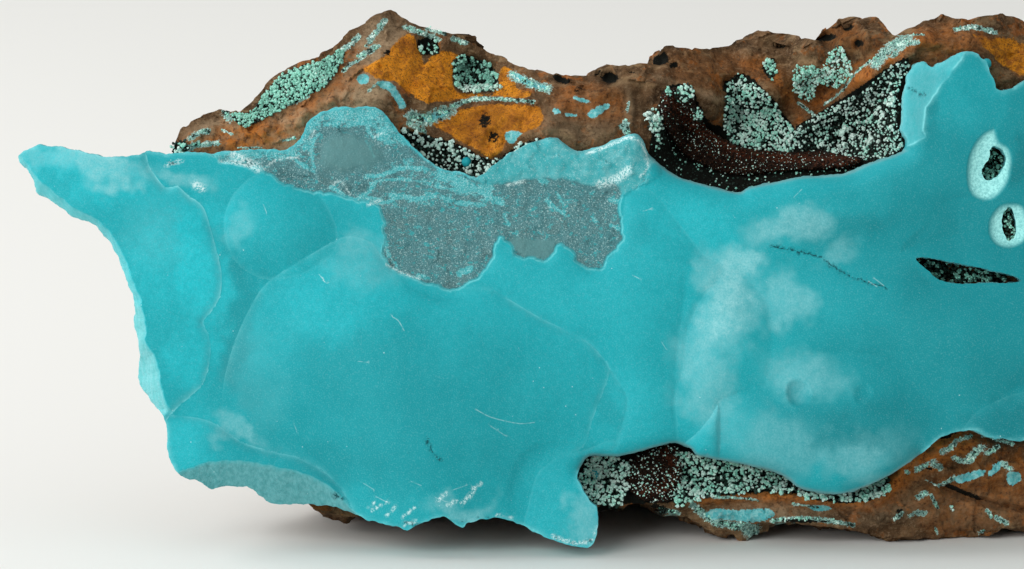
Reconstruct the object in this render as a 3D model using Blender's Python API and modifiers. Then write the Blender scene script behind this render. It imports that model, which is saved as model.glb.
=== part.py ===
"""A rosasite specimen: a turquoise crust of low rounded lobes on a brown iron-oxide matrix.

The crust is a sheet a few millimetres thick with broken edges. Behind it the limonite matrix
rises to a ridge, and its hollows are lined with small green crystals and dark goethite.
Everything is in metres, +Z up, and the specimen stands on the flat cut below its matrix.
"""

import math

import bmesh
import bpy
import numpy as np
from mathutils import Matrix, Vector, noise
from mathutils.bvhtree import BVHTree

MM = 0.001

# Driving dimensions, in millimetres. The face is drawn flat: u runs right, v up, w to the viewer.
LEAN_DEG = 10.0
FACE_MIDDLE = (51.2, 28.45)
BASE_BELOW_MIDDLE = 26.9
CRUST_THICKNESS = 4.2
CRUST_WAVE = 0.8
WING_THINNING = 1.6
LIP_WIDTH = 1.6
THINNEST = 1.0
GAP = 0.45
RIDGE_DEPTH = 14.0
VIEW_DISTANCE = 750.0
MATRIX_DEPTH = 38.5
TOP_SLOPE = 0.85
FOOT_SLOPE = 0.35
UPPER_POCKET_DEPTH = 6.0
LOWER_POCKET_DEPTH = 3.0
NOTCH_DEPTH = 1.6
VUG_DEPTH = 1.8
ROCK_ROUGHNESS = 0.8

# How finely each piece is remeshed, in millimetres, and the share of its faces that is kept
CRUST_VOXEL = 0.95
MATRIX_VOXEL = 1.25
DRUSE_VOXEL = 0.95
SMALL_VOXEL = 0.75
CRUST_TRIANGLES = 2880
MATRIX_TRIANGLES = 3100
ROLL_TRIANGLES = 420

# Half thickness of the flat blanks that are bent to shape, and how far a cutter reaches past them
BLANK_HALF = {"crust": 2.0, "matrix": 10.0, "crystals": 1.5}
CUTTER_REACH = 30.0
BLANK_BOX = [(-1.0, 0.0), (116.0, 0.0), (116.0, 54.0), (-1.0, 54.0)]

# Bumps of the matrix: their size in millimetres, and their height as a share of the roughness
FRONT_BUMP = (5.5, 1.6)
BACK_BUMP = (13.0, 1.75)
SKIN_BUMP = 7.0

# Outline of the crust, clockwise from the tip of its left wing
CRUST_TOP = [
    (1.7, 41.2), (2.5, 41.9), (3.5, 42.2), (5.5, 42.2), (7.5, 41.9), (9.5, 41.4), (12.0, 41.2),
    (14.0, 41.4), (15.0, 41.8), (16.5, 41.5), (19.0, 41.7), (21.5, 41.5), (24.0, 41.9),
    (26.2, 42.0), (28.5, 41.9), (30.0, 43.1), (30.8, 44.7), (32.0, 45.6), (34.0, 46.1),
    (37.5, 46.2), (38.5, 45.4), (39.8, 43.9), (41.2, 42.2), (42.5, 41.1), (44.0, 40.1),
    (46.0, 39.7), (47.8, 39.2), (50.0, 40.9), (51.5, 41.9), (54.0, 42.9), (55.5, 43.1),
    (57.5, 41.9), (59.0, 41.9), (61.5, 42.9), (63.0, 43.5), (64.0, 43.3), (65.0, 41.4),
]
CRUST_POCKET_RIM = [
    (66.5, 40.1), (68.0, 39.2), (70.0, 38.6), (73.7, 37.7), (75.0, 38.2), (77.5, 38.7),
    (80.0, 39.2), (83.0, 39.4), (85.0, 39.7), (87.0, 40.6), (89.5, 41.4), (90.5, 41.9),
]
CRUST_PEAK = [
    (90.7, 42.9), (90.3, 43.9), (90.4, 46.9), (91.2, 50.1), (92.5, 50.7), (93.5, 50.3),
    (96.0, 51.5), (97.5, 51.7), (98.5, 50.9), (99.2, 49.4), (99.8, 47.9), (101.0, 47.9),
    (102.4, 48.7), (105.0, 49.3), (107.5, 47.6), (109.5, 44.9), (111.0, 41.0), (112.4, 36.5),
    (112.9, 31.0), (112.2, 25.5), (111.0, 20.5), (108.8, 16.5), (105.8, 13.9), (102.4, 12.9),
    (99.0, 13.2), (97.5, 13.9), (94.5, 13.4),
]
CRUST_FOOT_RIM = [
    (92.0, 11.4), (90.0, 10.1), (88.5, 9.1), (87.0, 8.4), (85.0, 7.7), (83.0, 7.5), (80.0, 8.1),
    (79.0, 8.9), (77.5, 9.7), (75.0, 10.3), (71.0, 11.1), (69.7, 11.4), (69.0, 12.1),
    (67.5, 12.6), (66.0, 12.3), (64.0, 11.7), (62.0, 11.3), (59.0, 11.3), (58.0, 10.1),
]
CRUST_BOTTOM = [
    (57.8, 8.9), (59.0, 6.9), (59.7, 5.9), (59.8, 4.4), (59.2, 2.4), (57.5, 2.4), (55.5, 2.9),
    (54.0, 3.6), (51.0, 4.9), (49.0, 5.1), (47.0, 4.7), (46.0, 4.2), (44.3, 5.3), (41.5, 4.3),
    (40.5, 3.9), (39.5, 4.4), (37.5, 4.8), (35.0, 5.7), (33.0, 6.3), (30.0, 6.4), (27.0, 6.6),
    (25.0, 8.0), (23.0, 8.3), (21.0, 8.0), (20.0, 8.8), (18.5, 9.1), (17.5, 10.1), (16.8, 12.2),
    (16.6, 14.7), (15.0, 16.9), (13.8, 18.7), (13.9, 22.4), (13.4, 24.4), (13.5, 25.9),
    (13.0, 28.1), (12.2, 30.1), (11.2, 32.4), (9.2, 34.6), (7.5, 35.2), (4.8, 37.0),
    (3.6, 37.7), (3.3, 38.9), (2.5, 40.1),
]
CRUST_OUTLINE = CRUST_TOP + CRUST_POCKET_RIM + CRUST_PEAK + CRUST_FOOT_RIM + CRUST_BOTTOM

# Rims that grew rounded over a hollow, and the radius of each in millimetres
ROLLED_RIMS = ((CRUST_POCKET_RIM, 2.4), (CRUST_FOOT_RIM, 2.0), (CRUST_TOP[-7:], 1.6))

# Creases between the lobes of the crust
WING_LIP = [
    (15.0, 40.1), (16.5, 38.2), (19.0, 37.2), (20.7, 35.4), (21.8, 31.4), (22.2, 29.4),
    (22.0, 27.2), (20.3, 24.7), (21.1, 21.9), (20.8, 19.9), (20.0, 18.1), (17.0, 15.4),
]
GREAT_LEFT = [
    (35.0, 33.3), (33.0, 32.6), (30.5, 31.2), (28.5, 29.9), (26.8, 28.7), (25.5, 27.1),
    (24.5, 25.1), (23.5, 22.9), (22.8, 20.9), (22.3, 18.4), (22.4, 15.0), (24.0, 12.8),
    (30.0, 11.1), (33.0, 9.2), (35.0, 6.5), (38.0, 0.0), (52.5, 0.0), (53.2, 8.0), (55.0, 10.9),
]
GREAT_RIGHT = [(58.3, 12.2), (59.2, 14.9), (60.5, 18.4), (61.0, 19.9)]
CRESCENT_RIGHT = [(61.2, 11.9), (62.2, 14.4), (62.7, 16.9), (62.0, 18.4), (61.0, 19.9)]
GREAT_TOP = [
    (60.0, 21.4), (58.5, 22.9), (54.0, 25.1), (50.0, 27.5), (49.0, 28.1), (46.5, 28.2),
    (44.0, 28.1), (41.0, 29.2), (38.6, 30.6), (37.2, 32.6),
]
PATCH_EDGE = [
    (21.0, 41.4), (26.2, 39.9), (27.5, 38.9), (30.0, 37.9), (33.0, 37.4), (37.2, 36.4),
    (38.2, 35.4), (38.2, 31.4), (39.2, 29.9), (41.0, 29.2), (43.0, 28.4), (45.0, 27.9),
    (46.5, 28.2), (47.8, 29.2), (49.7, 32.6), (50.8, 32.6), (52.5, 31.0), (54.5, 30.8),
    (56.0, 32.3), (58.0, 30.4), (59.2, 29.9), (60.3, 30.2), (61.8, 32.2), (62.3, 35.4),
    (62.8, 37.9), (64.8, 39.9),
]

# Each lobe: its outline, the steep rise of its lip, the rise of its dome, the reach of the dome
LOBES = {
    "wing": (
        [(-4.0, 48.0), (12.0, 45.0)] + WING_LIP + [(12.0, 8.0), (2.0, 18.0), (-4.0, 30.0)],
        1.0, 1.2, 6.0,
    ),
    "small_dome": (
        [(26.2, 39.9), (24.0, 38.9), (22.8, 37.4), (22.2, 35.9), (22.4, 33.4), (23.2, 31.4),
         (25.0, 29.7), (28.0, 29.6), (33.0, 32.6), (34.0, 33.4), (32.5, 35.9), (31.0, 37.2),
         (29.0, 38.9)],
        0.3, 1.7, 5.0,
    ),
    "great_dome": (GREAT_LEFT + GREAT_RIGHT + GREAT_TOP, 0.8, 3.3, 14.0),
    "crescent": (GREAT_LEFT + CRESCENT_RIGHT + GREAT_TOP, 0.7, 0.3, 2.0),
    "middle_dome": (
        [(65.0, 37.9), (68.5, 33.9), (71.4, 30.6), (69.4, 27.0), (68.4, 22.0), (67.6, 17.0),
         (67.4, 9.0), (60.0, 9.0)] + CRESCENT_RIGHT + GREAT_TOP[:5] + [(49.7, 32.6), (52.5, 31.0),
         (56.0, 32.3), (59.2, 29.9), (62.3, 35.4)],
        0.3, 1.6, 6.0,
    ),
    "frosted_dome": (
        [(69.0, 30.7), (71.5, 30.7), (75.5, 28.4), (77.3, 24.0), (76.5, 18.4), (72.0, 16.4),
         (71.7, 13.9), (67.8, 13.4), (67.2, 17.0), (68.0, 22.0)],
        0.25, 1.8, 5.0,
    ),
    "shoulder": (
        [(72.0, 37.0), (73.5, 30.5), (77.5, 30.0), (82.0, 31.2), (85.0, 31.9), (90.5, 31.8),
         (96.0, 36.9), (104.0, 36.0), (118.0, 36.0), (118.0, 52.0), (100.0, 51.0), (96.0, 56.0),
         (86.0, 50.0), (86.0, 42.0)],
        0.2, 1.4, 6.0,
    ),
    "right_field": (
        [(77.3, 24.0), (76.2, 27.6), (79.0, 29.6), (85.0, 31.0), (92.0, 30.6), (102.0, 28.2),
         (118.0, 29.0), (114.0, 21.0), (107.0, 19.4), (102.0, 18.0), (98.5, 16.2), (94.0, 17.0),
         (88.0, 21.0), (80.0, 21.6)],
        0.2, 1.4, 6.0,
    ),
    "bead": ([(67.8, 13.4), (71.7, 14.4), (71.9, 10.5), (69.0, 9.0), (67.0, 11.0)], 0.5, 0.7, 2.0),
    "foot_dome": (
        [(72.0, 16.9), (76.5, 18.4), (80.0, 21.0), (88.0, 20.5), (93.5, 16.5), (96.5, 13.0),
         (92.0, 5.0), (76.0, 5.0), (71.9, 11.0)],
        0.3, 2.2, 8.0,
    ),
    "right_lobe": (
        [(97.0, 14.9), (98.5, 15.9), (100.0, 16.9), (102.0, 17.6), (107.0, 19.0), (113.0, 22.0),
         (114.0, 10.0), (96.0, 10.0)],
        0.3, 1.0, 3.0,
    ),
    "lower_left_lobe": (
        [(12.0, 15.4), (17.2, 15.4), (20.0, 15.1), (21.8, 14.4), (24.0, 12.8), (30.0, 11.1),
         (33.0, 9.2), (35.0, 6.0), (34.0, 1.0), (12.0, 1.0)],
        0.3, 1.2, 4.0,
    ),
    "lower_tip": (
        [(52.6, 0.0), (53.2, 8.0), (55.0, 10.7), (58.5, 11.6), (62.0, 12.0), (62.0, 0.0)],
        0.3, 1.0, 3.0,
    ),
    "patch_nodule": (
        [(31.5, 44.5), (33.0, 45.6), (36.0, 45.8), (38.2, 44.8), (39.8, 42.5), (39.0, 40.5),
         (35.0, 40.2), (32.0, 41.2)],
        0.2, 0.8, 2.5,
    ),
    "fractured_patch": (PATCH_EDGE + [(66.0, 47.0), (20.0, 47.0)], -0.6, -0.7, 3.0),
    "round_dimple": (
        [(78.5, 17.5), (79.3, 18.9), (80.8, 18.4), (81.3, 17.0), (80.0, 16.1)], -0.1, -0.8, 1.3,
    ),
}

# Each broken face: its outline, and how fast the surface falls away inside it
BREAKS = {
    "left_break": (
        [(13.8, 26.4), (14.5, 24.4), (14.7, 22.7), (15.7, 20.9), (16.2, 18.9), (16.7, 15.4),
         (12.0, 12.0), (6.0, 20.0), (8.0, 27.0)],
        1.5,
    ),
    "bottom_break": (
        [(19.5, 10.4), (21.5, 10.9), (25.0, 10.8), (28.0, 10.3), (31.0, 9.4), (32.8, 8.4),
         (34.5, 6.9), (37.0, 3.0), (34.0, 0.0), (14.0, 0.0), (16.0, 8.0)],
        1.0,
    ),
    "peak_break": (
        [(96.0, 52.5), (94.0, 48.4), (92.5, 45.9), (92.0, 42.9), (86.0, 42.0), (86.0, 53.0)],
        0.9,
    ),
    "under_peak": (
        [(90.0, 31.9), (92.5, 34.4), (94.5, 36.4), (96.0, 36.9), (104.0, 36.0), (118.0, 36.0),
         (118.0, 29.0), (102.0, 29.3), (92.0, 31.2)],
        0.3,
    ),
}

# Openings right through the crust
SLIT = [
    (92.0, 31.2), (94.5, 30.8), (97.0, 30.3), (100.0, 29.7), (102.2, 28.9), (98.5, 28.6),
    (96.0, 28.5), (94.0, 28.9), (93.0, 29.7),
]
UPPER_RING = [(99.2, 42.4), (100.5, 41.6), (100.7, 39.9), (99.7, 38.8), (98.4, 39.4), (98.3, 41.2)]
LOWER_RING = [(101.0, 36.3), (102.0, 35.6), (102.0, 33.8), (101.2, 32.9), (100.4, 33.9), (100.3, 35.3)]

# Outline of the matrix: the ridge seen above the crust, the guessed right end, the foot that is
# seen below it, and a hidden edge behind the crust
RIDGE = [
    (18.2, 43.4), (20.5, 45.2), (22.0, 45.8), (23.5, 45.6), (25.0, 46.3), (27.0, 48.7),
    (28.5, 49.7), (32.0, 51.2), (34.5, 53.1), (37.5, 55.2), (38.8, 55.9), (40.5, 54.7),
    (42.5, 54.1), (46.0, 53.3), (49.5, 51.4), (52.5, 50.1), (56.0, 49.2), (59.0, 49.2),
    (60.5, 50.2), (66.0, 50.3), (67.0, 52.3), (72.0, 52.1), (75.0, 52.9), (77.5, 53.7),
    (81.5, 52.8), (83.0, 54.2), (85.0, 55.1), (87.5, 54.9), (89.0, 53.1), (91.5, 54.2),
    (93.8, 55.2), (97.5, 54.9), (102.4, 54.6),
]
RIGHT_END = [
    (105.5, 54.0), (108.5, 52.4), (111.5, 49.5), (114.0, 45.0), (115.4, 39.0), (116.0, 32.0),
    (115.4, 25.0), (114.0, 18.0), (112.0, 11.5), (109.5, 6.5), (106.0, 3.9),
]
FOOT = [
    (101.2, 3.9), (97.5, 2.9), (91.0, 2.9), (86.0, 3.6), (80.0, 4.4), (76.5, 4.5), (73.5, 3.5),
    (70.5, 3.9), (68.0, 5.1), (64.0, 6.4), (60.0, 6.1),
]
HIDDEN_EDGE = [
    (57.0, 5.9), (53.0, 5.7), (48.0, 6.1), (43.0, 5.7), (39.0, 4.7), (35.0, 5.1), (31.0, 6.1),
    (30.0, 8.1), (26.2, 9.1), (22.5, 10.7), (20.0, 12.9), (18.0, 16.9), (16.8, 21.9),
    (16.2, 26.9), (15.5, 30.9), (15.0, 35.4), (16.0, 38.9),
]

# Hollows of the matrix
UPPER_POCKET = [
    (65.2, 41.0), (65.8, 46.0), (67.5, 48.4), (70.5, 46.8), (74.0, 49.9), (76.5, 48.4),
    (80.0, 50.0), (84.5, 51.6), (86.5, 50.0), (89.8, 48.6), (90.4, 42.5), (89.5, 40.8),
    (85.0, 39.0), (73.7, 37.0), (68.0, 38.5),
]
LOWER_POCKET = [
    (57.6, 12.0), (58.2, 8.5), (60.0, 6.7), (64.0, 6.9), (70.0, 6.6), (75.0, 6.9), (79.0, 6.9),
    (84.0, 6.6), (88.5, 7.6), (90.4, 9.9), (88.0, 11.5), (83.0, 11.5), (76.0, 13.0),
    (66.0, 14.5), (60.0, 13.5),
]
NOTCH = [
    (40.2, 44.6), (42.5, 43.8), (46.5, 42.3), (50.0, 41.9), (53.2, 42.9), (49.5, 40.0),
    (47.8, 38.6), (44.0, 39.4), (41.0, 41.6),
]

VUG = [
    (45.2, 50.8), (46.6, 52.0), (48.6, 51.8), (49.8, 50.4), (49.9, 48.6), (48.0, 47.8),
    (46.0, 48.0), (45.0, 49.2),
]

# Crystal crusts and goethite on the matrix: each outline, its thickness and its bumps
ON_MATRIX = {
    "upper_pocket_druse": (
        [(73.3, 47.6), (74.5, 49.5), (75.7, 49.0), (76.6, 47.7), (77.8, 46.7), (79.2, 45.3),
         (80.2, 44.4), (82.0, 46.0), (84.6, 47.6), (86.2, 48.6), (88.5, 48.4), (89.6, 47.4),
         (89.6, 43.8), (89.7, 42.6), (87.4, 42.0), (86.0, 43.2), (83.0, 43.2), (80.0, 43.5),
         (76.5, 43.7), (74.2, 44.6), (73.2, 45.8)],
        0.7, 0.9,
    ),
    "upper_ledge_druse": (
        [(80.0, 50.3), (81.4, 51.2), (83.2, 52.0), (85.0, 51.9), (85.6, 50.8), (84.8, 49.6),
         (82.4, 48.6), (80.8, 48.2), (79.8, 49.0)],
        0.6, 0.8,
    ),
    "lower_pocket_druse": (
        [(58.6, 9.6), (59.0, 8.2), (60.4, 7.3), (63.6, 7.4), (63.6, 11.2), (66.6, 12.0),
         (68.8, 11.0), (68.9, 7.5), (72.5, 7.3), (77.0, 7.4), (80.5, 7.0), (84.0, 6.9), (87.4, 7.7),
         (88.2, 8.8), (85.4, 8.6), (83.0, 8.4), (80.6, 9.0), (78.0, 10.2), (75.0, 10.9),
         (71.0, 11.6), (69.0, 12.6), (66.0, 12.9), (62.0, 11.9), (59.4, 11.5)],
        0.7, 0.9,
    ),
    "notch_druse": (
        [(40.4, 43.7), (42.5, 43.6), (44.5, 42.8), (46.5, 41.8), (50.0, 41.4), (52.2, 42.3),
         (50.0, 41.0), (48.6, 40.2), (47.8, 39.5), (46.0, 40.1), (44.0, 40.5), (42.5, 41.5),
         (41.4, 42.5)],
        0.5, 0.8,
    ),
    "slope_druse": (
        [(23.6, 45.0), (25.6, 46.0), (27.3, 48.2), (29.0, 49.2), (32.2, 50.6), (34.6, 52.2),
         (34.8, 50.6), (32.6, 48.6), (30.0, 46.8), (27.0, 45.2), (24.6, 44.2)],
        0.5, 0.8,
    ),
    "vug_druse": (
        [(45.6, 50.6), (46.6, 51.6), (48.4, 51.4), (49.4, 50.2), (49.6, 48.8), (48.0, 48.2),
         (46.2, 48.4), (45.4, 49.4)],
        0.5, 0.7,
    ),
    "slit_druse": (
        [(92.7, 30.7), (94.5, 30.4), (97.0, 29.9), (100.0, 29.3), (100.6, 29.1), (98.5, 29.0),
         (96.0, 28.9), (94.2, 29.3), (93.3, 30.0)],
        0.5, 0.6,
    ),
    "upper_ring_druse": (
        [(99.2, 42.0), (100.1, 41.4), (100.3, 40.0), (99.6, 39.2), (98.8, 39.6), (98.7, 41.0)],
        0.8, 0.6,
    ),
    "lower_ring_druse": (
        [(101.0, 35.9), (101.6, 35.4), (101.6, 34.0), (101.2, 33.4), (100.8, 34.1), (100.7, 35.2)],
        0.8, 0.6,
    ),
    "goethite_roll": (
        [(66.3, 48.0), (67.6, 48.6), (69.6, 48.0), (70.2, 46.4), (70.6, 45.1), (71.6, 44.3),
         (73.6, 43.2), (76.4, 43.0), (80.0, 42.8), (83.0, 42.5), (85.6, 42.7), (86.4, 41.8),
         (84.6, 40.9), (80.0, 40.8), (76.0, 40.9), (72.4, 41.3), (69.6, 42.5), (67.2, 44.8),
         (65.9, 46.6)],
        0.4, 2.4,
    ),
    "goethite_lump": (
        [(64.4, 9.8), (65.3, 10.8), (66.8, 11.1), (68.0, 10.2), (68.2, 8.9), (67.3, 7.7),
         (65.6, 7.4), (64.5, 8.5)],
        0.6, 2.4,
    ),
}
ROUNDED = ("goethite_roll", "goethite_lump")
IN_OPENINGS = ("slit_druse", "upper_ring_druse", "lower_ring_druse")
NARROW = IN_OPENINGS + ("notch_druse",)

# Broken faces of the matrix's back: slope along u, slope along v, depth at the middle of the face
BACK_FACETS = [
    (0.02, -0.05, -MATRIX_DEPTH), (0.0, 1.5, -54.0), (-1.0, 0.0, -51.0), (0.9, 0.1, -63.0),
    (-0.6, 0.9, -50.0), (0.5, 1.0, -60.0), (0.25, 0.45, -43.0), (-0.3, 0.25, -40.5),
    (0.35, -0.6, -47.0),
]
FACET_CENTRE = (58.0, 28.0)

# Colour of each mineral, as linear red, green and blue, and its roughness
MINERALS = {
    "rosasite": ((0.025, 0.40, 0.43), 0.62),
    "limonite": ((0.16, 0.065, 0.025), 0.9),
    "goethite": ((0.022, 0.008, 0.005), 0.55),
    "green_crystal": ((0.25, 0.42, 0.33), 0.5),
}


def smooth_step(value, low, high):
    """Rises from 0 at low to 1 at high, with level ends."""
    t = np.clip((value - low) / (high - low), 0.0, 1.0)
    return t * t * (3.0 - 2.0 * t)


def inside_distance(points, outline):
    """Distance of each point to the outline, positive inside it."""
    corners = np.array(outline)
    ends = np.roll(corners, -1, axis=0)
    nearest = np.full(len(points), 1e9)
    crossings = np.zeros(len(points), dtype=bool)
    for start, end in zip(corners, ends):
        run = end - start
        offset = points - start
        along = np.clip(offset @ run / max(run @ run, 1e-9), 0.0, 1.0)
        gap = offset - along[:, None] * run
        nearest = np.minimum(nearest, np.hypot(gap[:, 0], gap[:, 1]))
        rises = (start[1] > points[:, 1]) != (end[1] > points[:, 1])
        if start[1] != end[1]:
            at = start[0] + (points[:, 1] - start[1]) * run[0] / (end[1] - start[1])
            crossings ^= rises & (points[:, 0] < at)
    return np.where(crossings, nearest, -nearest)


def distance_to_line(points, line):
    """Distance of each point to an open line."""
    there_and_back = list(line) + list(line[-2:0:-1])
    return np.abs(inside_distance(points, there_and_back))


def waves(points, size, seed, octaves=3):
    """Smooth noise between about -1 and 1, with bumps of this size in millimetres."""
    offset = Vector((seed * 17.3, seed * 5.1, seed * 9.7))
    return np.array([
        noise.fractal(Vector(point) / size + offset, 1.0, 2.0, octaves) for point in points
    ])


def flat_waves(points, size, seed, octaves=3):
    """Smooth noise over the flat face."""
    return waves(np.column_stack([points, np.zeros(len(points))]), size, seed, octaves)


def sheet_level(points):
    """The gentle bow of the whole crust: its right end and its left wing fall back."""
    right = np.maximum(points[:, 0] - 80.0, 0.0)
    left = np.maximum(20.0 - points[:, 0], 0.0)
    return -0.0035 * right ** 2 - 0.006 * left ** 2


def crust_back(points):
    """The hidden face of the crust, which thins out towards the tip of its wing."""
    thickness = CRUST_THICKNESS + CRUST_WAVE * flat_waves(points, 16.0, 5, 1)
    thickness -= WING_THINNING * smooth_step(-points[:, 0], -14.0, -3.0)
    return sheet_level(points) - thickness


def crust_front(points):
    """The lobed face of the crust."""
    height = sheet_level(points)
    for outline, lip, dome, reach in LOBES.values():
        inside = np.maximum(inside_distance(points, outline), 0.0)
        height += lip * smooth_step(inside, 0.0, LIP_WIDTH)
        height += dome * (1.0 - (1.0 - np.clip(inside / reach, 0.0, 1.0)) ** 2)
    for outline, slope in BREAKS.values():
        height -= slope * np.maximum(inside_distance(points, outline), 0.0)
    for rim, radius in ROLLED_RIMS:
        near = np.clip(distance_to_line(points, rim) / radius, 0.0, 1.0)
        height -= radius * (1.0 - np.sqrt(1.0 - (1.0 - near) ** 2))
    return np.maximum(height, crust_back(points) + THINNEST)


def matrix_front(points):
    """The matrix behind the crust, and the slopes and hollows that are seen beside it."""
    outside = -inside_distance(points, CRUST_OUTLINE)
    upper = smooth_step(points[:, 1], 20.0, 34.0)
    slope = FOOT_SLOPE + (TOP_SLOPE - FOOT_SLOPE) * upper
    height = crust_back(points) - GAP
    height -= slope * np.maximum(outside - 1.0, 0.0)
    bare = smooth_step(outside, 1.0, 3.5)
    size, share = FRONT_BUMP
    height += bare * ROCK_ROUGHNESS * share * flat_waves(points, size, 3)
    for outline, depth, reach in (
        (UPPER_POCKET, UPPER_POCKET_DEPTH, 4.0),
        (LOWER_POCKET, LOWER_POCKET_DEPTH, 2.2),
        (NOTCH, NOTCH_DEPTH, 1.5),
        (VUG, VUG_DEPTH, 1.4),
    ):
        height -= depth * smooth_step(inside_distance(points, outline), 0.0, reach)
    return height


def matrix_back(points):
    """The broken back of the matrix."""
    across = points[:, 0] - FACET_CENTRE[0]
    up = points[:, 1] - FACET_CENTRE[1]
    depth = np.max([a * across + b * up + c for a, b, c in BACK_FACETS], axis=0)
    size, share = BACK_BUMP
    depth += ROCK_ROUGHNESS * share * flat_waves(points, size, 8)
    return np.minimum(depth, matrix_front(points) - 3.0)


def new_collection(name):
    """An empty collection in the scene."""
    collection = bpy.data.collections.new(name)
    bpy.context.scene.collection.children.link(collection)
    return collection


def mineral_material(name):
    """A plain Principled material in the mineral's colour."""
    material = bpy.data.materials.new(name)
    material.use_nodes = True
    shader = material.node_tree.nodes["Principled BSDF"]
    colour, roughness = MINERALS[name]
    shader.inputs["Base Color"].default_value = (*colour, 1.0)
    shader.inputs["Roughness"].default_value = roughness
    return material


def evaluated_mesh(source):
    """The mesh that an object's curve or modifiers give."""
    graph = bpy.context.evaluated_depsgraph_get()
    return bpy.data.meshes.new_from_object(source.evaluated_get(graph))


def with_modifiers_applied(obj):
    """Replaces the object's mesh by what its modifiers make of it."""
    mesh = evaluated_mesh(obj)
    obj.modifiers.clear()
    obj.data = mesh
    return obj


def prism(name, outline, half, collection):
    """A straight solid of this outline, this far in front of the face's plane and behind it."""
    curve = bpy.data.curves.new(name, "CURVE")
    curve.dimensions = "2D"
    curve.fill_mode = "BOTH"
    curve.extrude = half * MM
    spline = curve.splines.new("POLY")
    spline.points.add(len(outline) - 1)
    for point, (u, v) in zip(spline.points, outline):
        point.co = (u * MM, v * MM, 0.0, 1.0)
    spline.use_cyclic_u = True
    drawn = bpy.data.objects.new(name + "_outline", curve)
    collection.objects.link(drawn)
    bpy.context.view_layer.update()
    mesh = evaluated_mesh(drawn)
    bpy.data.objects.remove(drawn)
    solid = bpy.data.objects.new(name, mesh)
    collection.objects.link(solid)
    weld = solid.modifiers.new("weld", "WELD")
    weld.merge_threshold = 0.00001
    bpy.context.view_layer.update()
    return with_modifiers_applied(solid)


def remesh(obj, voxel):
    """Gives the object an even skin of small faces."""
    modifier = obj.modifiers.new("even_skin", "REMESH")
    modifier.mode = "VOXEL"
    modifier.voxel_size = voxel * MM
    return with_modifiers_applied(obj)


def decimate(obj, triangles):
    """Keeps the faces that the form needs."""
    obj.data.calc_loop_triangles()
    modifier = obj.modifiers.new("fewer_faces", "DECIMATE")
    modifier.ratio = min(1.0, triangles / len(obj.data.loop_triangles))
    modifier.use_collapse_triangulate = True
    return with_modifiers_applied(obj)


def points_of(mesh):
    """The mesh's points in millimetres."""
    flat = np.empty(len(mesh.vertices) * 3, np.float32)
    mesh.vertices.foreach_get("co", flat)
    return flat.reshape(-1, 3).astype(float) / MM


def move_points(mesh, points):
    """Puts the mesh's points at these places, in millimetres."""
    mesh.vertices.foreach_set("co", (points * MM).astype(np.float32).ravel())
    mesh.update()


def bend_between(obj, half, front, back):
    """Maps a flat blank onto the space between two surfaces."""
    points = points_of(obj.data)
    share = np.clip(points[:, 2] / half * 0.5 + 0.5, 0.0, 1.0)
    nearer = front(points[:, :2])
    farther = back(points[:, :2])
    points[:, 2] = farther + share * (nearer - farther)
    move_points(obj.data, points)


def boolean(obj, cutter, operation):
    """Cuts the object with another, or keeps what they share."""
    modifier = obj.modifiers.new(cutter.name, "BOOLEAN")
    modifier.operation = operation
    modifier.object = cutter
    modifier.solver = "EXACT"


def hide_cutter(cutter):
    """Leaves a cutter out of the model."""
    cutter.hide_render = True
    cutter.display_type = "WIRE"


def build_crust(parts, cutters):
    """The turquoise crust: a lobed sheet, cut to its outline and through its openings."""
    crust = prism("rosasite_crust", BLANK_BOX, BLANK_HALF["crust"], parts)
    remesh(crust, CRUST_VOXEL)
    bend_between(crust, BLANK_HALF["crust"], crust_front, crust_back)
    outline = prism("crust_outline", CRUST_OUTLINE, CUTTER_REACH, cutters)
    boolean(crust, outline, "INTERSECT")
    with_modifiers_applied(crust)
    decimate(crust, CRUST_TRIANGLES)
    for name, opening in (("slit", SLIT), ("upper_ring", UPPER_RING), ("lower_ring", LOWER_RING)):
        cutter = prism(name + "_cutter", opening, CUTTER_REACH, cutters)
        hide_cutter(cutter)
        boolean(crust, cutter, "DIFFERENCE")
    hide_cutter(outline)
    return crust


def spread_for_depth(outline):
    """Widens an outline that lies at the ridge's depth, where it looks smaller than at the face."""
    spread = 1.0 + RIDGE_DEPTH / VIEW_DISTANCE
    middle_u, middle_v = FACE_MIDDLE
    return [(middle_u + (u - middle_u) * spread, middle_v + (v - middle_v) * spread)
            for u, v in outline]


def roughen_rock(points):
    """Moves the rock's free faces in and out, and leaves those behind the crust as they are."""
    face = matrix_front(points[:, :2])
    near_face = smooth_step(face - points[:, 2], 1.0, 4.0)
    beside = smooth_step(-inside_distance(points[:, :2], CRUST_OUTLINE), 1.0, 3.0)
    free = near_face * np.maximum(beside, smooth_step(face - points[:, 2], 3.0, 8.0))
    for axis in range(3):
        points[:, axis] += free * ROCK_ROUGHNESS * waves(points, SKIN_BUMP, 20 + axis)
    return points


def base_cutter(cutters, to_world):
    """A large block whose top is the level that the specimen is cut at."""
    shape = bmesh.new()
    bmesh.ops.create_cube(shape, size=1.0)
    mesh = bpy.data.meshes.new("base_cutter")
    shape.to_mesh(mesh)
    shape.free()
    cutter = bpy.data.objects.new("base_cutter", mesh)
    cutters.objects.link(cutter)
    width, height = 0.3, 0.1
    level = Matrix.Translation((0.0, 0.0, -BASE_BELOW_MIDDLE * MM - height / 2.0))
    size = Matrix.Diagonal((width, width, height, 1.0))
    cutter.matrix_world = to_world.inverted() @ level @ size
    return cutter


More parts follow.
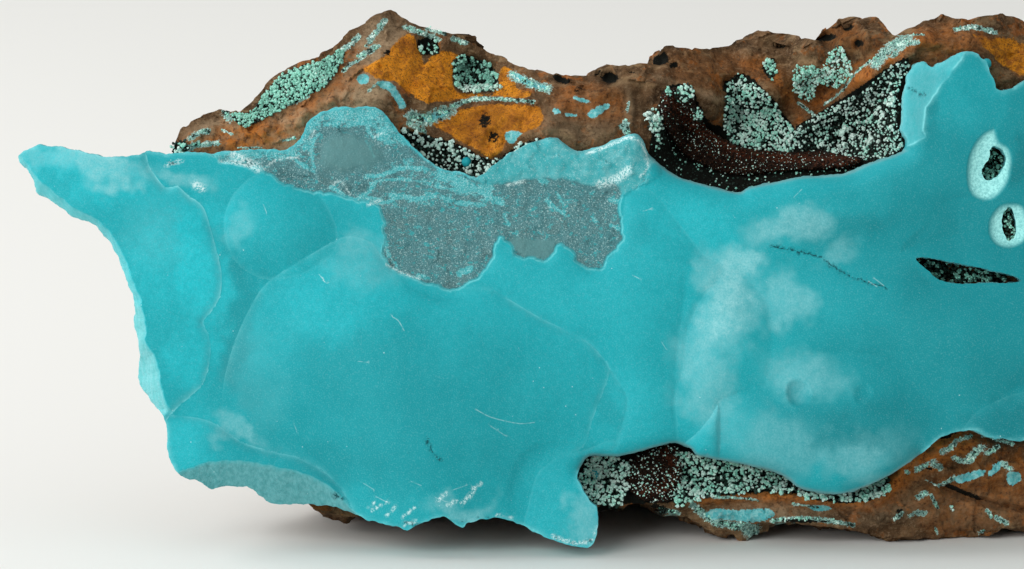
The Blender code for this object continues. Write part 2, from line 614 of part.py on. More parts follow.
def build_matrix(parts, cutters, to_world):
    """The brown matrix: a rough block behind the crust, cut flat where it stands."""
    outline = spread_for_depth(RIDGE) + RIGHT_END + FOOT + HIDDEN_EDGE
    matrix = prism("limonite_matrix", outline, BLANK_HALF["matrix"], parts)
    remesh(matrix, MATRIX_VOXEL)
    bend_between(matrix, BLANK_HALF["matrix"], matrix_front, matrix_back)
    move_points(matrix.data, roughen_rock(points_of(matrix.data)))
    decimate(matrix, MATRIX_TRIANGLES)
    cutter = base_cutter(cutters, to_world)
    hide_cutter(cutter)
    boolean(matrix, cutter, "DIFFERENCE")
    bpy.context.view_layer.update()
    return with_modifiers_applied(matrix)


def surface_under(tree, points, start):
    """Depth of the matrix below each point of the face, from rays cast straight back."""
    depth = np.full(len(points), np.nan)
    for index, (u, v) in enumerate(points):
        hit = tree.ray_cast(Vector((u * MM, v * MM, start * MM)), Vector((0.0, 0.0, -1.0)))
        if hit[0] is not None:
            depth[index] = hit[0].z / MM
    missing = np.isnan(depth)
    depth[missing] = np.nanmean(depth)
    return depth


def build_on_matrix(name, parts, tree, rng):
    """A crust of small crystals, or a rounded lump of goethite, grown on the matrix."""
    outline, thickness, relief = ON_MATRIX[name]
    piece = prism(name, outline, BLANK_HALF["crystals"], parts)
    remesh(piece, SMALL_VOXEL if name in NARROW else DRUSE_VOXEL)

    def back(points):
        near = [surface_under(tree, points + shift, 15.0) for shift in
                ((0.0, 0.0), (0.35, 0.0), (-0.35, 0.0), (0.0, 0.35), (0.0, -0.35))]
        return np.max(near, axis=0) + GAP

    def front(points):
        inside = np.maximum(inside_distance(points, outline), 0.0)
        if name in ROUNDED:
            swell = relief * np.sqrt(1.0 - (1.0 - np.clip(inside / 1.3, 0.0, 1.0)) ** 2)
            swell += 0.25 * flat_waves(points, 1.2, 31)
        else:
            swell = relief * rng.random(len(points)) ** 2 * smooth_step(inside, 0.0, 0.6)
        height = back(points) + thickness + swell
        if name in IN_OPENINGS:
            return height
        under_crust = inside_distance(points, CRUST_OUTLINE) > -1.0
        ceiling = np.maximum(crust_back(points) - GAP, back(points) + 0.2)
        return np.where(under_crust, np.minimum(height, ceiling), height)

    bend_between(piece, BLANK_HALF["crystals"], front, back)
    if name == "goethite_roll":
        decimate(piece, ROLL_TRIANGLES)
    return piece


def stand_on_base(root, pieces):
    """Moves the whole specimen so that its box is centred over the origin and rests on z = 0."""
    bpy.context.view_layer.update()
    corners = []
    for piece in pieces:
        mesh = evaluated_mesh(piece)
        world = np.array(piece.matrix_world)
        points = points_of(mesh) * MM @ world[:3, :3].T + world[:3, 3]
        corners += [points.min(axis=0), points.max(axis=0)]
        bpy.data.meshes.remove(mesh)
    low = np.min(corners, axis=0)
    high = np.max(corners, axis=0)
    root.location += Vector((-(low[0] + high[0]) / 2.0, -(low[1] + high[1]) / 2.0, -low[2]))


def main():
    """Builds every piece of the specimen."""
    for old in list(bpy.data.objects):
        bpy.data.objects.remove(old)
    parts = new_collection("rosasite_specimen")
    cutters = new_collection("cutters")
    root = bpy.data.objects.new("specimen_stand", None)
    parts.objects.link(root)
    root.rotation_euler = (math.radians(90.0 - LEAN_DEG), 0.0, 0.0)
    bpy.context.view_layer.update()
    middle = Vector((FACE_MIDDLE[0] * MM, FACE_MIDDLE[1] * MM, 0.0))
    root.location = -(root.matrix_world.to_3x3() @ middle)
    bpy.context.view_layer.update()
    to_world = root.matrix_world.copy()

    crust = build_crust(parts, cutters)
    matrix = build_matrix(parts, cutters, to_world)
    graph = bpy.context.evaluated_depsgraph_get()
    tree = BVHTree.FromObject(matrix, graph)
    rng = np.random.default_rng(12)
    grown = {name: build_on_matrix(name, parts, tree, rng) for name in ON_MATRIX}

    materials = {name: mineral_material(name) for name in MINERALS}
    crust.data.materials.append(materials["rosasite"])
    matrix.data.materials.append(materials["limonite"])
    for name, piece in grown.items():
        mineral = "goethite" if name in ROUNDED else "green_crystal"
        piece.data.materials.append(materials[mineral])
    for piece in (crust, matrix, *grown.values(), *cutters.objects):
        piece.parent = root
    stand_on_base(root, (crust, matrix, *grown.values()))


main()
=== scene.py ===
"""Dresses a rosasite specimen: a turquoise crust on brown limonite with crystal pockets."""

import logging
import math
from collections.abc import Callable
from dataclasses import dataclass, field
from enum import Enum

import bpy
import numpy as np
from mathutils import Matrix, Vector, noise
from mathutils.geometry import delaunay_2d_cdt
from mathutils.kdtree import KDTree


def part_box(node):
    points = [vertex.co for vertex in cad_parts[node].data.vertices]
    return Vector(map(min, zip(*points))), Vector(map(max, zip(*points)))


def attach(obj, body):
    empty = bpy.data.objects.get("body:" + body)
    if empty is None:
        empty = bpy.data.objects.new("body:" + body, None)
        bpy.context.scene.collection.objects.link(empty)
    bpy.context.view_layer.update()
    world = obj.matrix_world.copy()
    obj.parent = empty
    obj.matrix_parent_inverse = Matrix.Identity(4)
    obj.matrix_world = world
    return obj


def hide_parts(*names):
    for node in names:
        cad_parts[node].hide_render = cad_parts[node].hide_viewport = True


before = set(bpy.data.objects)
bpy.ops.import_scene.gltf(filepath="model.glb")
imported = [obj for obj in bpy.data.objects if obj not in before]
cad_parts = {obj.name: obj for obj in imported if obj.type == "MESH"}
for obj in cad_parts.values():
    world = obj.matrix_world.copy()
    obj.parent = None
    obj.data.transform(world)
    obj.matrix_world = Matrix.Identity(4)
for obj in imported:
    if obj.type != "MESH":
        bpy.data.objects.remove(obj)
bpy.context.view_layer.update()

MM = 0.001
LOG = logging.getLogger("rosasite")

Array = np.ndarray
Outline = list[tuple[float, float]]
# Lines have half widths or strengths, and fields have strengths
Lines = list[tuple[Outline, float]]
Fields = list[tuple[float, Outline]]
# Spots are ovals: middle u and v, half width, half height, turn in degrees and strength
Spots = list[tuple[float, ...]]
Pattern = Callable[..., Array]
Marks = dict[str, Array]
Colour = tuple[float, float, float]
Random = np.random.Generator
Material = bpy.types.Material
Socket = bpy.types.NodeSocket

# The face is drawn flat, in millimetres: u runs right, v up and w towards the viewer
LEAN_DEG = 10.0
LEAN = math.radians(LEAN_DEG)
FACE_MIDDLE = (51.2, 28.45)
BASE_BELOW_MIDDLE = 26.9
VIEW_DISTANCE = 750.0
IMAGE_WIDTH_MM = 102.4
RIDGE_DEPTH = 14.0
# How far a seed moves through the noise along each axis
WAVE_STEPS = (17.3, 5.1, 9.7)
CELL_STEPS = (3.7, 11.9, 7.3)

# Outline of the crust, clockwise from the tip of its left wing
CRUST_TOP: Outline = [
    (1.7, 41.2), (2.5, 41.9), (3.5, 42.2), (5.5, 42.2), (7.5, 41.9), (9.5, 41.4), (12, 41.2),
    (14, 41.4), (15, 41.8), (16.5, 41.5), (19, 41.7), (21.5, 41.5), (24, 41.9), (26.2, 42),
    (28.5, 41.9), (30, 43.1), (30.8, 44.7), (32, 45.6), (34, 46.1), (37.5, 46.2), (38.5, 45.4),
    (41.2, 42.2), (44, 40.1), (46, 39.7), (47.8, 39.2), (50, 40.9), (51.5, 41.9), (54, 42.9),
    (55.5, 43.1), (57.5, 41.9), (59, 41.9), (61.5, 42.9), (63, 43.5), (64, 43.3), (65, 41.4),
]
CRUST_POCKET_RIM: Outline = [
    (66.5, 40.1), (68, 39.2), (70, 38.6), (73.7, 37.7), (75, 38.2), (77.5, 38.7), (80, 39.2),
    (83, 39.4), (85, 39.7), (87, 40.6), (89.5, 41.4), (90.5, 41.9),
]
CRUST_PEAK: Outline = [
    (90.7, 42.9), (90.3, 43.9), (90.4, 46.9), (91.2, 50.1), (92.5, 50.7), (93.5, 50.3), (96, 51.5),
    (97.5, 51.7), (98.5, 50.9), (99.2, 49.4), (99.8, 47.9), (101, 47.9), (102.4, 48.7),
    (105, 49.3), (107.5, 47.6), (109.5, 44.9), (111, 41), (112.4, 36.5), (112.9, 31),
    (112.2, 25.5), (111, 20.5), (108.8, 16.5), (105.8, 13.9), (102.4, 12.9), (99, 13.2),
    (97.5, 13.9), (94.5, 13.4),
]
CRUST_FOOT_RIM: Outline = [
    (92, 11.4), (88.5, 9.1), (85, 7.7), (83, 7.5), (80, 8.1), (79, 8.9), (77.5, 9.7), (75, 10.3),
    (71, 11.1), (69.7, 11.4), (69, 12.1), (67.5, 12.6), (66, 12.3), (62, 11.3), (59, 11.3),
    (58, 10.1),
]
CRUST_BOTTOM: Outline = [
    (57.8, 8.9), (59, 6.9), (59.7, 5.9), (59.8, 4.4), (59.2, 2.4), (57.5, 2.4), (55.5, 2.9),
    (51, 4.9), (49, 5.1), (47, 4.7), (46, 4.2), (44.3, 5.3), (41.5, 4.3), (40.5, 3.9), (39.5, 4.4),
    (37.5, 4.8), (33, 6.3), (30, 6.4), (27, 6.6), (25, 8), (23, 8.3), (21, 8), (20, 8.8),
    (18.5, 9.1), (17.5, 10.1), (16.8, 12.2), (16.6, 14.7), (15, 16.9), (13.8, 18.7), (13.9, 22.4),
    (13.4, 24.4), (13.5, 25.9), (13, 28.1), (11.2, 32.4), (9.2, 34.6), (7.5, 35.2), (4.8, 37),
    (3.6, 37.7), (3.3, 38.9), (2.5, 40.1),
]
CRUST_OUTLINE: Outline = CRUST_TOP + CRUST_POCKET_RIM + CRUST_PEAK + CRUST_FOOT_RIM + CRUST_BOTTOM

# Creases between the lobes of the crust
WING_LIP: Outline = [
    (15, 40.1), (16.5, 38.2), (17.8, 38.3), (19, 37.2), (20, 36.6), (20.7, 35.4), (21.8, 31.4),
    (22.2, 29.4), (22, 27.2), (21, 25.6), (20.3, 24.7), (20.8, 23.6), (21.1, 21.9), (20.8, 19.9),
    (20, 18.1), (17, 15.4),
]
GREAT_LEFT: Outline = [
    (35, 33.3), (33, 32.6), (28.5, 29.9), (26.8, 28.7), (25.5, 27.1), (23.5, 22.9), (22.3, 18.4),
    (22.4, 15), (24, 12.8), (30, 11.1), (33, 9.2), (35, 6.5), (38, 0), (52.5, 0), (53.2, 8),
    (55, 10.9),
]
GREAT_RIGHT: Outline = [(58.3, 12.2), (59.2, 14.9), (60, 16.9), (61, 19.9)]
CRESCENT_RIGHT: Outline = [
    (61.2, 11.9), (62.2, 14.4), (62.7, 16.9), (62, 18.4), (61, 19.9),
]
GREAT_TOP: Outline = [
    (60, 21.4), (58.5, 22.9), (54, 25.1), (50, 27.5), (49, 28.1), (46.5, 28.2), (44, 28.1),
    (41, 29.2), (38.6, 30.6), (37.2, 32.6),
]
PATCH_EDGE: Outline = [
    (21, 41.4), (26.2, 39.9), (27.5, 38.9), (30, 37.9), (33, 37.4), (37.2, 36.4), (38.2, 35.4),
    (38.4, 33.4), (38.2, 31.4), (39.2, 29.9), (41, 29.2), (43, 28.4), (45, 27.9), (46.5, 28.2),
    (47.8, 29.2), (49, 30.7), (49.7, 32.6), (50, 33.1), (50.8, 32.6), (51.5, 31.6), (52.5, 31),
    (54.5, 30.8), (55.3, 31.4), (55.8, 32.3), (56.3, 32.3), (57.2, 31.4), (58, 30.4), (59.2, 29.9),
    (60.3, 30.2), (60.8, 31.1), (61.8, 32.2), (62.3, 33.4), (62.2, 36.9), (62.8, 37.9), (64, 38.4),
    (64.8, 39.9),
]

# Openings right through the crust
SLIT: Outline = [
    (92, 31.2), (100, 29.7), (102.2, 28.9), (101, 28.6), (98.5, 28.6), (96, 28.5), (94, 28.9),
    (93, 29.7),
]
UPPER_RING: Outline = [
    (99.2, 42.2), (100.3, 41.9), (100.6, 40.6), (99.9, 39.4), (98.8, 38.9), (98.2, 39.8),
    (98.9, 41),
]
LOWER_RING: Outline = [
    (101, 36.3), (101.5, 35.6), (101.8, 34.3), (101.6, 33.2), (101, 32.9), (100.5, 33.8),
    (100.4, 35.3),
]
UPPER_DISH: Outline = [
    (99.3, 44.1), (98, 43.4), (96.9, 41.6), (96.6, 39.4), (97, 37.6), (98.2, 36.8), (99.6, 37),
    (100.9, 38.6), (101.3, 40.8), (100.9, 42.2), (100, 42.8), (99.6, 43.8),
]
LOWER_DISH: Outline = [
    (101.4, 36.7), (100, 36.4), (99, 35), (99, 33.4), (99.8, 32.3), (101.2, 32), (102.6, 32.6),
    (103.2, 34), (103, 35.6), (102.3, 36.5),
]

# Outline of the matrix, and its hollows
RIDGE: Outline = [
    (18.2, 43.4), (19, 44.2), (20.5, 45.2), (22, 45.8), (23.5, 45.6), (25, 46.3), (27, 48.7),
    (28.5, 49.7), (32, 51.2), (33.3, 52.1), (35.8, 54.1), (37.5, 55.2), (38.8, 55.9), (39.5, 55.6),
    (40.5, 54.7), (44, 53.7), (46, 53.3), (49.5, 51.4), (52.5, 50.1), (54.5, 49.7), (56, 49.2),
    (59, 49.2), (59.5, 49.9), (60.5, 50.2), (62.5, 50.1), (64.5, 50.5), (66, 50.3), (66.2, 51.9),
    (67, 52.3), (70, 51.9), (72, 52.1), (73.5, 52.6), (75, 52.9), (76, 53.5), (77.5, 53.7),
    (81.5, 52.8), (82.3, 53.1), (83, 54.2), (84, 54.9), (85, 55.1), (86.2, 54.9), (86.7, 55.2),
    (87.5, 54.9), (88.3, 54.1), (89, 53.1), (90, 53.6), (93, 54.9), (93.8, 55.2), (95.5, 54.9),
    (97.5, 54.9), (100, 55.3), (102.4, 54.6),
]
RIGHT_END: Outline = [
    (105.5, 54), (108.5, 52.4), (111.5, 49.5), (114, 45), (115.4, 39), (116, 32), (115.4, 25),
    (114, 18), (112, 11.5), (109.5, 6.5), (106, 3.9),
]
FOOT: Outline = [
    (102.4, 3.6), (101.2, 3.9), (100, 3.3), (97.5, 2.9), (94, 2.8), (88, 3.1), (86, 3.6),
    (80, 4.4), (76.5, 4.5), (74.5, 4.1), (73.5, 3.5), (72, 3.4), (70.5, 3.9), (69.5, 4.7),
    (68, 5.1), (65.5, 5.9), (64, 6.4), (60, 6.1),
]
HIDDEN_EDGE: Outline = [
    (57, 5.9), (53, 5.7), (48, 6.1), (43, 5.7), (39, 4.7), (35, 5.1), (31, 6.1), (30, 8.1),
    (26.2, 9.1), (22.5, 10.7), (20, 12.9), (18, 16.9), (16.8, 21.9), (16.2, 26.9), (15.5, 30.9),
    (15, 35.4), (16, 38.9),
]
UPPER_POCKET: Outline = [
    (65.2, 41), (65.8, 46), (67.5, 48.4), (70.5, 46.8), (74, 49.9), (76.5, 48.4), (80, 50),
    (84.5, 51.6), (86.5, 50), (89.8, 48.6), (90.4, 42.5), (89.5, 40.8), (85, 39), (73.7, 37),
    (68, 38.5),
]
LOWER_POCKET: Outline = [
    (57.6, 12), (58.2, 8.5), (60, 6.7), (64, 6.9), (70, 6.6), (79, 6.9), (84, 6.6), (88.5, 7.6),
    (90.4, 9.9), (88, 11.5), (83, 11.5), (76, 13), (66, 14.5), (60, 13.5),
]
NOTCH: Outline = [
    (40.2, 44.6), (46.5, 42.3), (50, 41.9), (53.2, 42.9), (49.5, 40), (47.8, 38.6), (44, 39.4),
    (41, 41.6),
]
VUG: Outline = [
    (45.2, 50.8), (46.6, 52), (48.6, 51.8), (49.8, 50.4), (49.9, 48.6), (48, 47.8), (46, 48),
    (45, 49.2),
]

# Broken faces of the matrix's back: slope along u, slope along v, depth at the middle of the face
BACK_FACETS = [
    (0.02, -0.05, -38.5), (0, 1.5, -54), (-1, 0, -51), (0.9, 0.1, -63), (-0.6, 0.9, -50),
    (0.5, 1, -60), (0.25, 0.45, -43), (-0.3, 0.25, -40.5), (0.35, -0.6, -47),
]
FACET_CENTRE = (58, 28)


def ramp(value: Array, low: float, high: float) -> Array:
    """Rises from 0 at low to 1 at high, with level ends."""
    t = np.clip((value - low) / (high - low), 0.0, 1.0)
    return t * t * (3.0 - 2.0 * t)


def rounded_line(corners: Outline, closed: bool, step: float = 0.35) -> Array:
    """Draws a smooth line through given points.

    Args:
        corners: The points that the line passes through.
        closed: Whether the line returns to its first point.
        step: Distance between the points of the result, in millimetres.

    Returns:
        The points of the smooth line, without a repeated last point.
    """
    points = np.array(corners, float)
    count = len(points)
    drawn = []
    for index in range(count if closed else count - 1):
        p0, p1, p2, p3 = (points[k % count if closed else min(max(k, 0), count - 1)]
                          for k in range(index - 1, index + 3))
        length = np.hypot(*(p2 - p1))
        for t in np.linspace(0.0, 1.0, max(2, math.ceil(length / step) + 1))[:-1]:
            drawn.append(0.5 * (
                2.0 * p1 + (p2 - p0) * t + (2.0 * p0 - 5.0 * p1 + 4.0 * p2 - p3) * t ** 2
                + (3.0 * p1 - p0 - 3.0 * p2 + p3) * t ** 3
            ))
    return np.array(drawn if closed else drawn + [points[-1]])


def near_line(points: Array, line: Array, reach: float) -> Array:
    """Tells which points of the face lie in the box around a line, or within reach of it."""
    low, high = line.min(axis=0) - reach, line.max(axis=0) + reach
    return ((points[:, :2] >= low) & (points[:, :2] <= high)).all(axis=1)


def distance_to_line(points: Array, line: Array, closed: bool, reach: float = math.inf) -> Array:
    """Measures how far points of the face lie from a line.

    Args:
        points: Points of the face.
        line: Corners of the line.
        closed: Whether the line returns to its first corner.
        reach: The farthest distance that matters, in millimetres.

    Returns:
        The distance of each point, or reach where it is surely farther.
    """
    near = near_line(points, line, reach)
    away = np.full(len(points), reach, float)
    chosen = points[near, :2]
    nearest = np.full(len(chosen), 1e18)
    for start, end in zip(line, np.roll(line, -1, axis=0) if closed else line[1:]):
        run = end - start
        offset = chosen - start
        along = np.clip(offset @ run / max(run @ run, 1e-12), 0.0, 1.0)
        u, v = (offset - along[:, None] * run).T
        np.minimum(nearest, u * u + v * v, out=nearest)
    away[near] = np.sqrt(nearest)
    return away


def along_line(points: Array, corners: Outline, reach: float, low: float,
               high: float, step: float = 0.35) -> Array:
    """Marks a line: 1 within low of it, fading to 0 at high, looking no farther than reach."""
    away = distance_to_line(points, rounded_line(corners, False, step), False, reach)
    return 1.0 - ramp(away, low, high)


def inside(points: Array, line: Array) -> Array:
    """Tells which points of the face lie inside a closed line.

    Args:
        points: Points of the face.
        line: Corners of the closed line.

    Returns:
        True for each point inside.
    """
    near = near_line(points, line, 0.0)
    u, v = points[near].T
    crossings = np.zeros(len(u), dtype=bool)
    for start, end in zip(line, np.roll(line, -1, axis=0)):
        if start[1] != end[1]:
            at = start[0] + (v - start[1]) * (end[0] - start[0]) / (end[1] - start[1])
            crossings ^= ((start[1] > v) != (end[1] > v)) & (u < at)
    found = np.zeros(len(points), dtype=bool)
    found[near] = crossings
    return found


def within(points: Array, rings: list[Array]) -> Array:
    """Tells which points lie inside the first ring and outside the others."""
    held = np.array([inside(points, ring) for ring in rings])
    return held[0] & ~held[1:].any(axis=0)


def lattice(points: Array, size: float, seed: float, steps: Colour) -> Array:
    """Scales points of the face or of space, and moves them to the noise that a seed chooses."""
    flat = np.zeros((len(points), 3 - points.shape[1]))
    return np.column_stack([points, flat]) / size + seed * np.array(steps)


def waves(points: Array, size: float, seed: float, octaves: int = 3) -> Array:
    """Makes smooth noise between about -1 and 1, with bumps of a size in millimetres."""
    places = lattice(points, size, seed, WAVE_STEPS)
    return np.array([noise.fractal(place, 1.0, 2.0, octaves) for place in places])


def cells(points: Array, size: float, seed: float) -> Array:
    """Measures the way to the nearest cell centre, as a share of the cells' size."""
    places = lattice(points, size, seed, CELL_STEPS)
    return np.array([noise.voronoi(place)[0][0] for place in places])


def facets(points: Array, size: float, seed: float) -> Array:
    """Makes a pattern of flat tilted chips, like crumbly rock.

    Args:
        points: Points of the face, or points in space, in millimetres.
        size: Width of a chip, in millimetres.
        seed: Chooses the pattern.

    Returns:
        One value for each point, mostly between -0.5 and 0.5.
    """
    heights = []
    for place in lattice(points, size, seed, CELL_STEPS):
        centre = noise.voronoi(place)[1][0]
        tilt = noise.cell_vector(centre * 9.0) - Vector((0.5, 0.5, 0.5))
        heights.append(2.0 * tilt.dot(Vector(place) - centre) + tilt.z)
    return np.array(heights)


def shift(points: Array, pattern: Pattern, size: float, seed: float, *more: int) -> Array:
    """Makes a row of noise for each point, a different one along each axis."""
    axes = range(points.shape[1])
    return np.column_stack([pattern(points, size, seed + axis, *more) for axis in axes])


@dataclass(frozen=True)
class FaceFrame:
    """Turns places on the flat drawing of the face into places in the model."""

    shift: tuple[float, float, float]

    def to_world(self, points: Array) -> Array:
        """Places points (u, v, w) of the drawing, in millimetres, in the model, in metres."""
        u, v, w = (points - (*FACE_MIDDLE, 0.0)).T
        cosine, sine = math.cos(LEAN), math.sin(LEAN)
        placed = np.column_stack([u, v * sine - w * cosine, v * cosine + w * sine])
        return placed * MM + np.array(self.shift)


@dataclass
class Region:
    """A closed area of the face."""

    corners: Outline
    ragged: float = 0.0

    def __post_init__(self) -> None:
        """Draws the edge."""
        self.line = rounded_line(self.corners, True, 0.16 if self.ragged else 0.35)
        if self.ragged:
            self.line = self.line + self.ragged * shift(self.line, waves, 1.1, 46, 4)

    def depth(self, points: Array, margin: float = 3.0) -> Array:
        """Measures how deep points lie inside the area, down to -margin outside it."""
        away = distance_to_line(points, self.line, True, margin)
        return np.where(inside(points, self.line), away, -np.minimum(away, margin))


@dataclass(frozen=True)
class Raster:
    """An even grid over the face, on which the lobes are swelled."""

    low: tuple[float, float] = (-8.0, -8.0)
    cell: float = 0.25
    columns: int = 544
    rows: int = 288

    def centres(self) -> Array:
        """Lists the middle of each cell, row after row."""
        u, v = (low + (np.arange(count) + 0.5) * self.cell
                for low, count in zip(self.low, (self.columns, self.rows)))
        return np.stack(np.meshgrid(u, v), axis=-1).reshape(-1, 2)

    def sample(self, values: Array, points: Array) -> Array:
        """Reads a grid of values between its cells.

        Args:
            values: One value for each cell, as rows and columns.
            points: Points of the face.

        Returns:
            The interpolated value at each point.
        """
        x, y = (np.clip((points[:, axis] - self.low[axis]) / self.cell - 0.5, 0.0, count - 1.001)
                for axis, count in enumerate((self.columns, self.rows)))
        column = x.astype(int)
        row = y.astype(int)
        fx = x - column
        fy = y - row
        lower = values[row, column] * (1.0 - fx) + values[row, column + 1] * fx
        upper = values[row + 1, column] * (1.0 - fx) + values[row + 1, column + 1] * fx
        return lower * (1.0 - fy) + upper * fy


def relaxed(values: Array, mask: Array, cell: float, rounds: int) -> Array:
    """Swells a membrane that is held at the edge of a mask.

    Args:
        values: Starting heights.
        mask: True where the membrane is free.
        cell: Width of a cell, in millimetres.
        rounds: How many times each cell is averaged with its neighbours.

    Returns:
        The heights of the membrane.
    """
    for _ in range(rounds):
        padded = np.pad(values, 1)
        around = padded[:-2, 1:-1] + padded[2:, 1:-1] + padded[1:-1, :-2] + padded[1:-1, 2:]
        values = np.where(mask, (around + cell * cell) / 4.0, 0.0)
    return values


def soft_spot(points: Array, spot: tuple[float, ...]) -> Array:
    """Fades from 1 in the middle of an oval to 0 outside it."""
    place = (points - spot[:2]) @ (1.0, 1j) * np.exp(-1j * math.radians(spot[4]))
    return 1.0 - ramp(np.hypot(place.real / spot[2], place.imag / spot[3]), 0.35, 1.15)


def strongest(points: Array, spots: Spots) -> Array:
    """Draws soft ovals, the strongest on top; one without a strength has the strength 1."""
    drawn = [(*spot, 1.0)[5] * soft_spot(points, spot) for spot in spots]
    return np.max([np.zeros(len(points))] + drawn, axis=0)


def filled(points: Array, areas: Fields, low: float, high: float) -> Array:
    """Fills areas of the face with their strengths, starting at the depth low, full at high."""
    return np.max([strength * ramp(Region(corners).depth(points, 1.5), low, high)
                   for strength, corners in areas], axis=0)


def drawn_lines(points: Array, lines: Lines, soft: float) -> Array:
    """Draws lines of given half widths, which fade out at soft times that."""
    return np.max([along_line(points, corners, soft * width, 0.3 * width, soft * width, 0.4)
                   for corners, width in lines], axis=0)


@dataclass
class Lobe:
    """One rounded lobe of the crust, which rises from its crease like a blister."""

    corners: Outline
    lip: float
    dome: float
    roundness: float = 0.7
    lip_width: float = 0.35
    fades: Spots = ()
    ragged: float = 0.0
    raster: Raster = Raster()

    def __post_init__(self) -> None:
        """Works out the swell of the lobe, on finer and finer grids."""
        self.region = Region(self.corners, self.ragged)
        grid = self.raster
        depth = self.region.depth(grid.centres(), 1.0).reshape(grid.rows, grid.columns)
        swell = np.zeros((grid.rows // 16, grid.columns // 16))
        for level, rounds in ((8, 300), (4, 120), (2, 60), (1, 30)):
            free = depth[level // 2::level, level // 2::level] > 0.0
            start = swell.repeat(2, axis=0).repeat(2, axis=1)[:free.shape[0], :free.shape[1]]
            swell = relaxed(start, free, grid.cell * level, rounds)
        self.swell = swell / max(float(swell.max()), 1e-6)

    def height(self, points: Array, depth: Array) -> Array:
        """Gives the lobe's rise over the face.

        Args:
            points: Points of the face.
            depth: How deep each point lies inside the lobe.

        Returns:
            The rise in millimetres, 0 outside the lobe.
        """
        held = np.maximum(depth, 0.0)
        membrane = np.clip(self.raster.sample(self.swell, points), 0.0, 1.0)
        soft = strongest(points, self.fades)
        edge = np.clip(held / (0.5 + 2.0 * soft), 0.0, 1.0)
        rise = self.dome * membrane ** (self.roundness + 0.5 * soft) * edge
        step = self.lip * (1.0 - np.exp(-held / self.lip_width))
        return rise + (1.0 - soft) * step


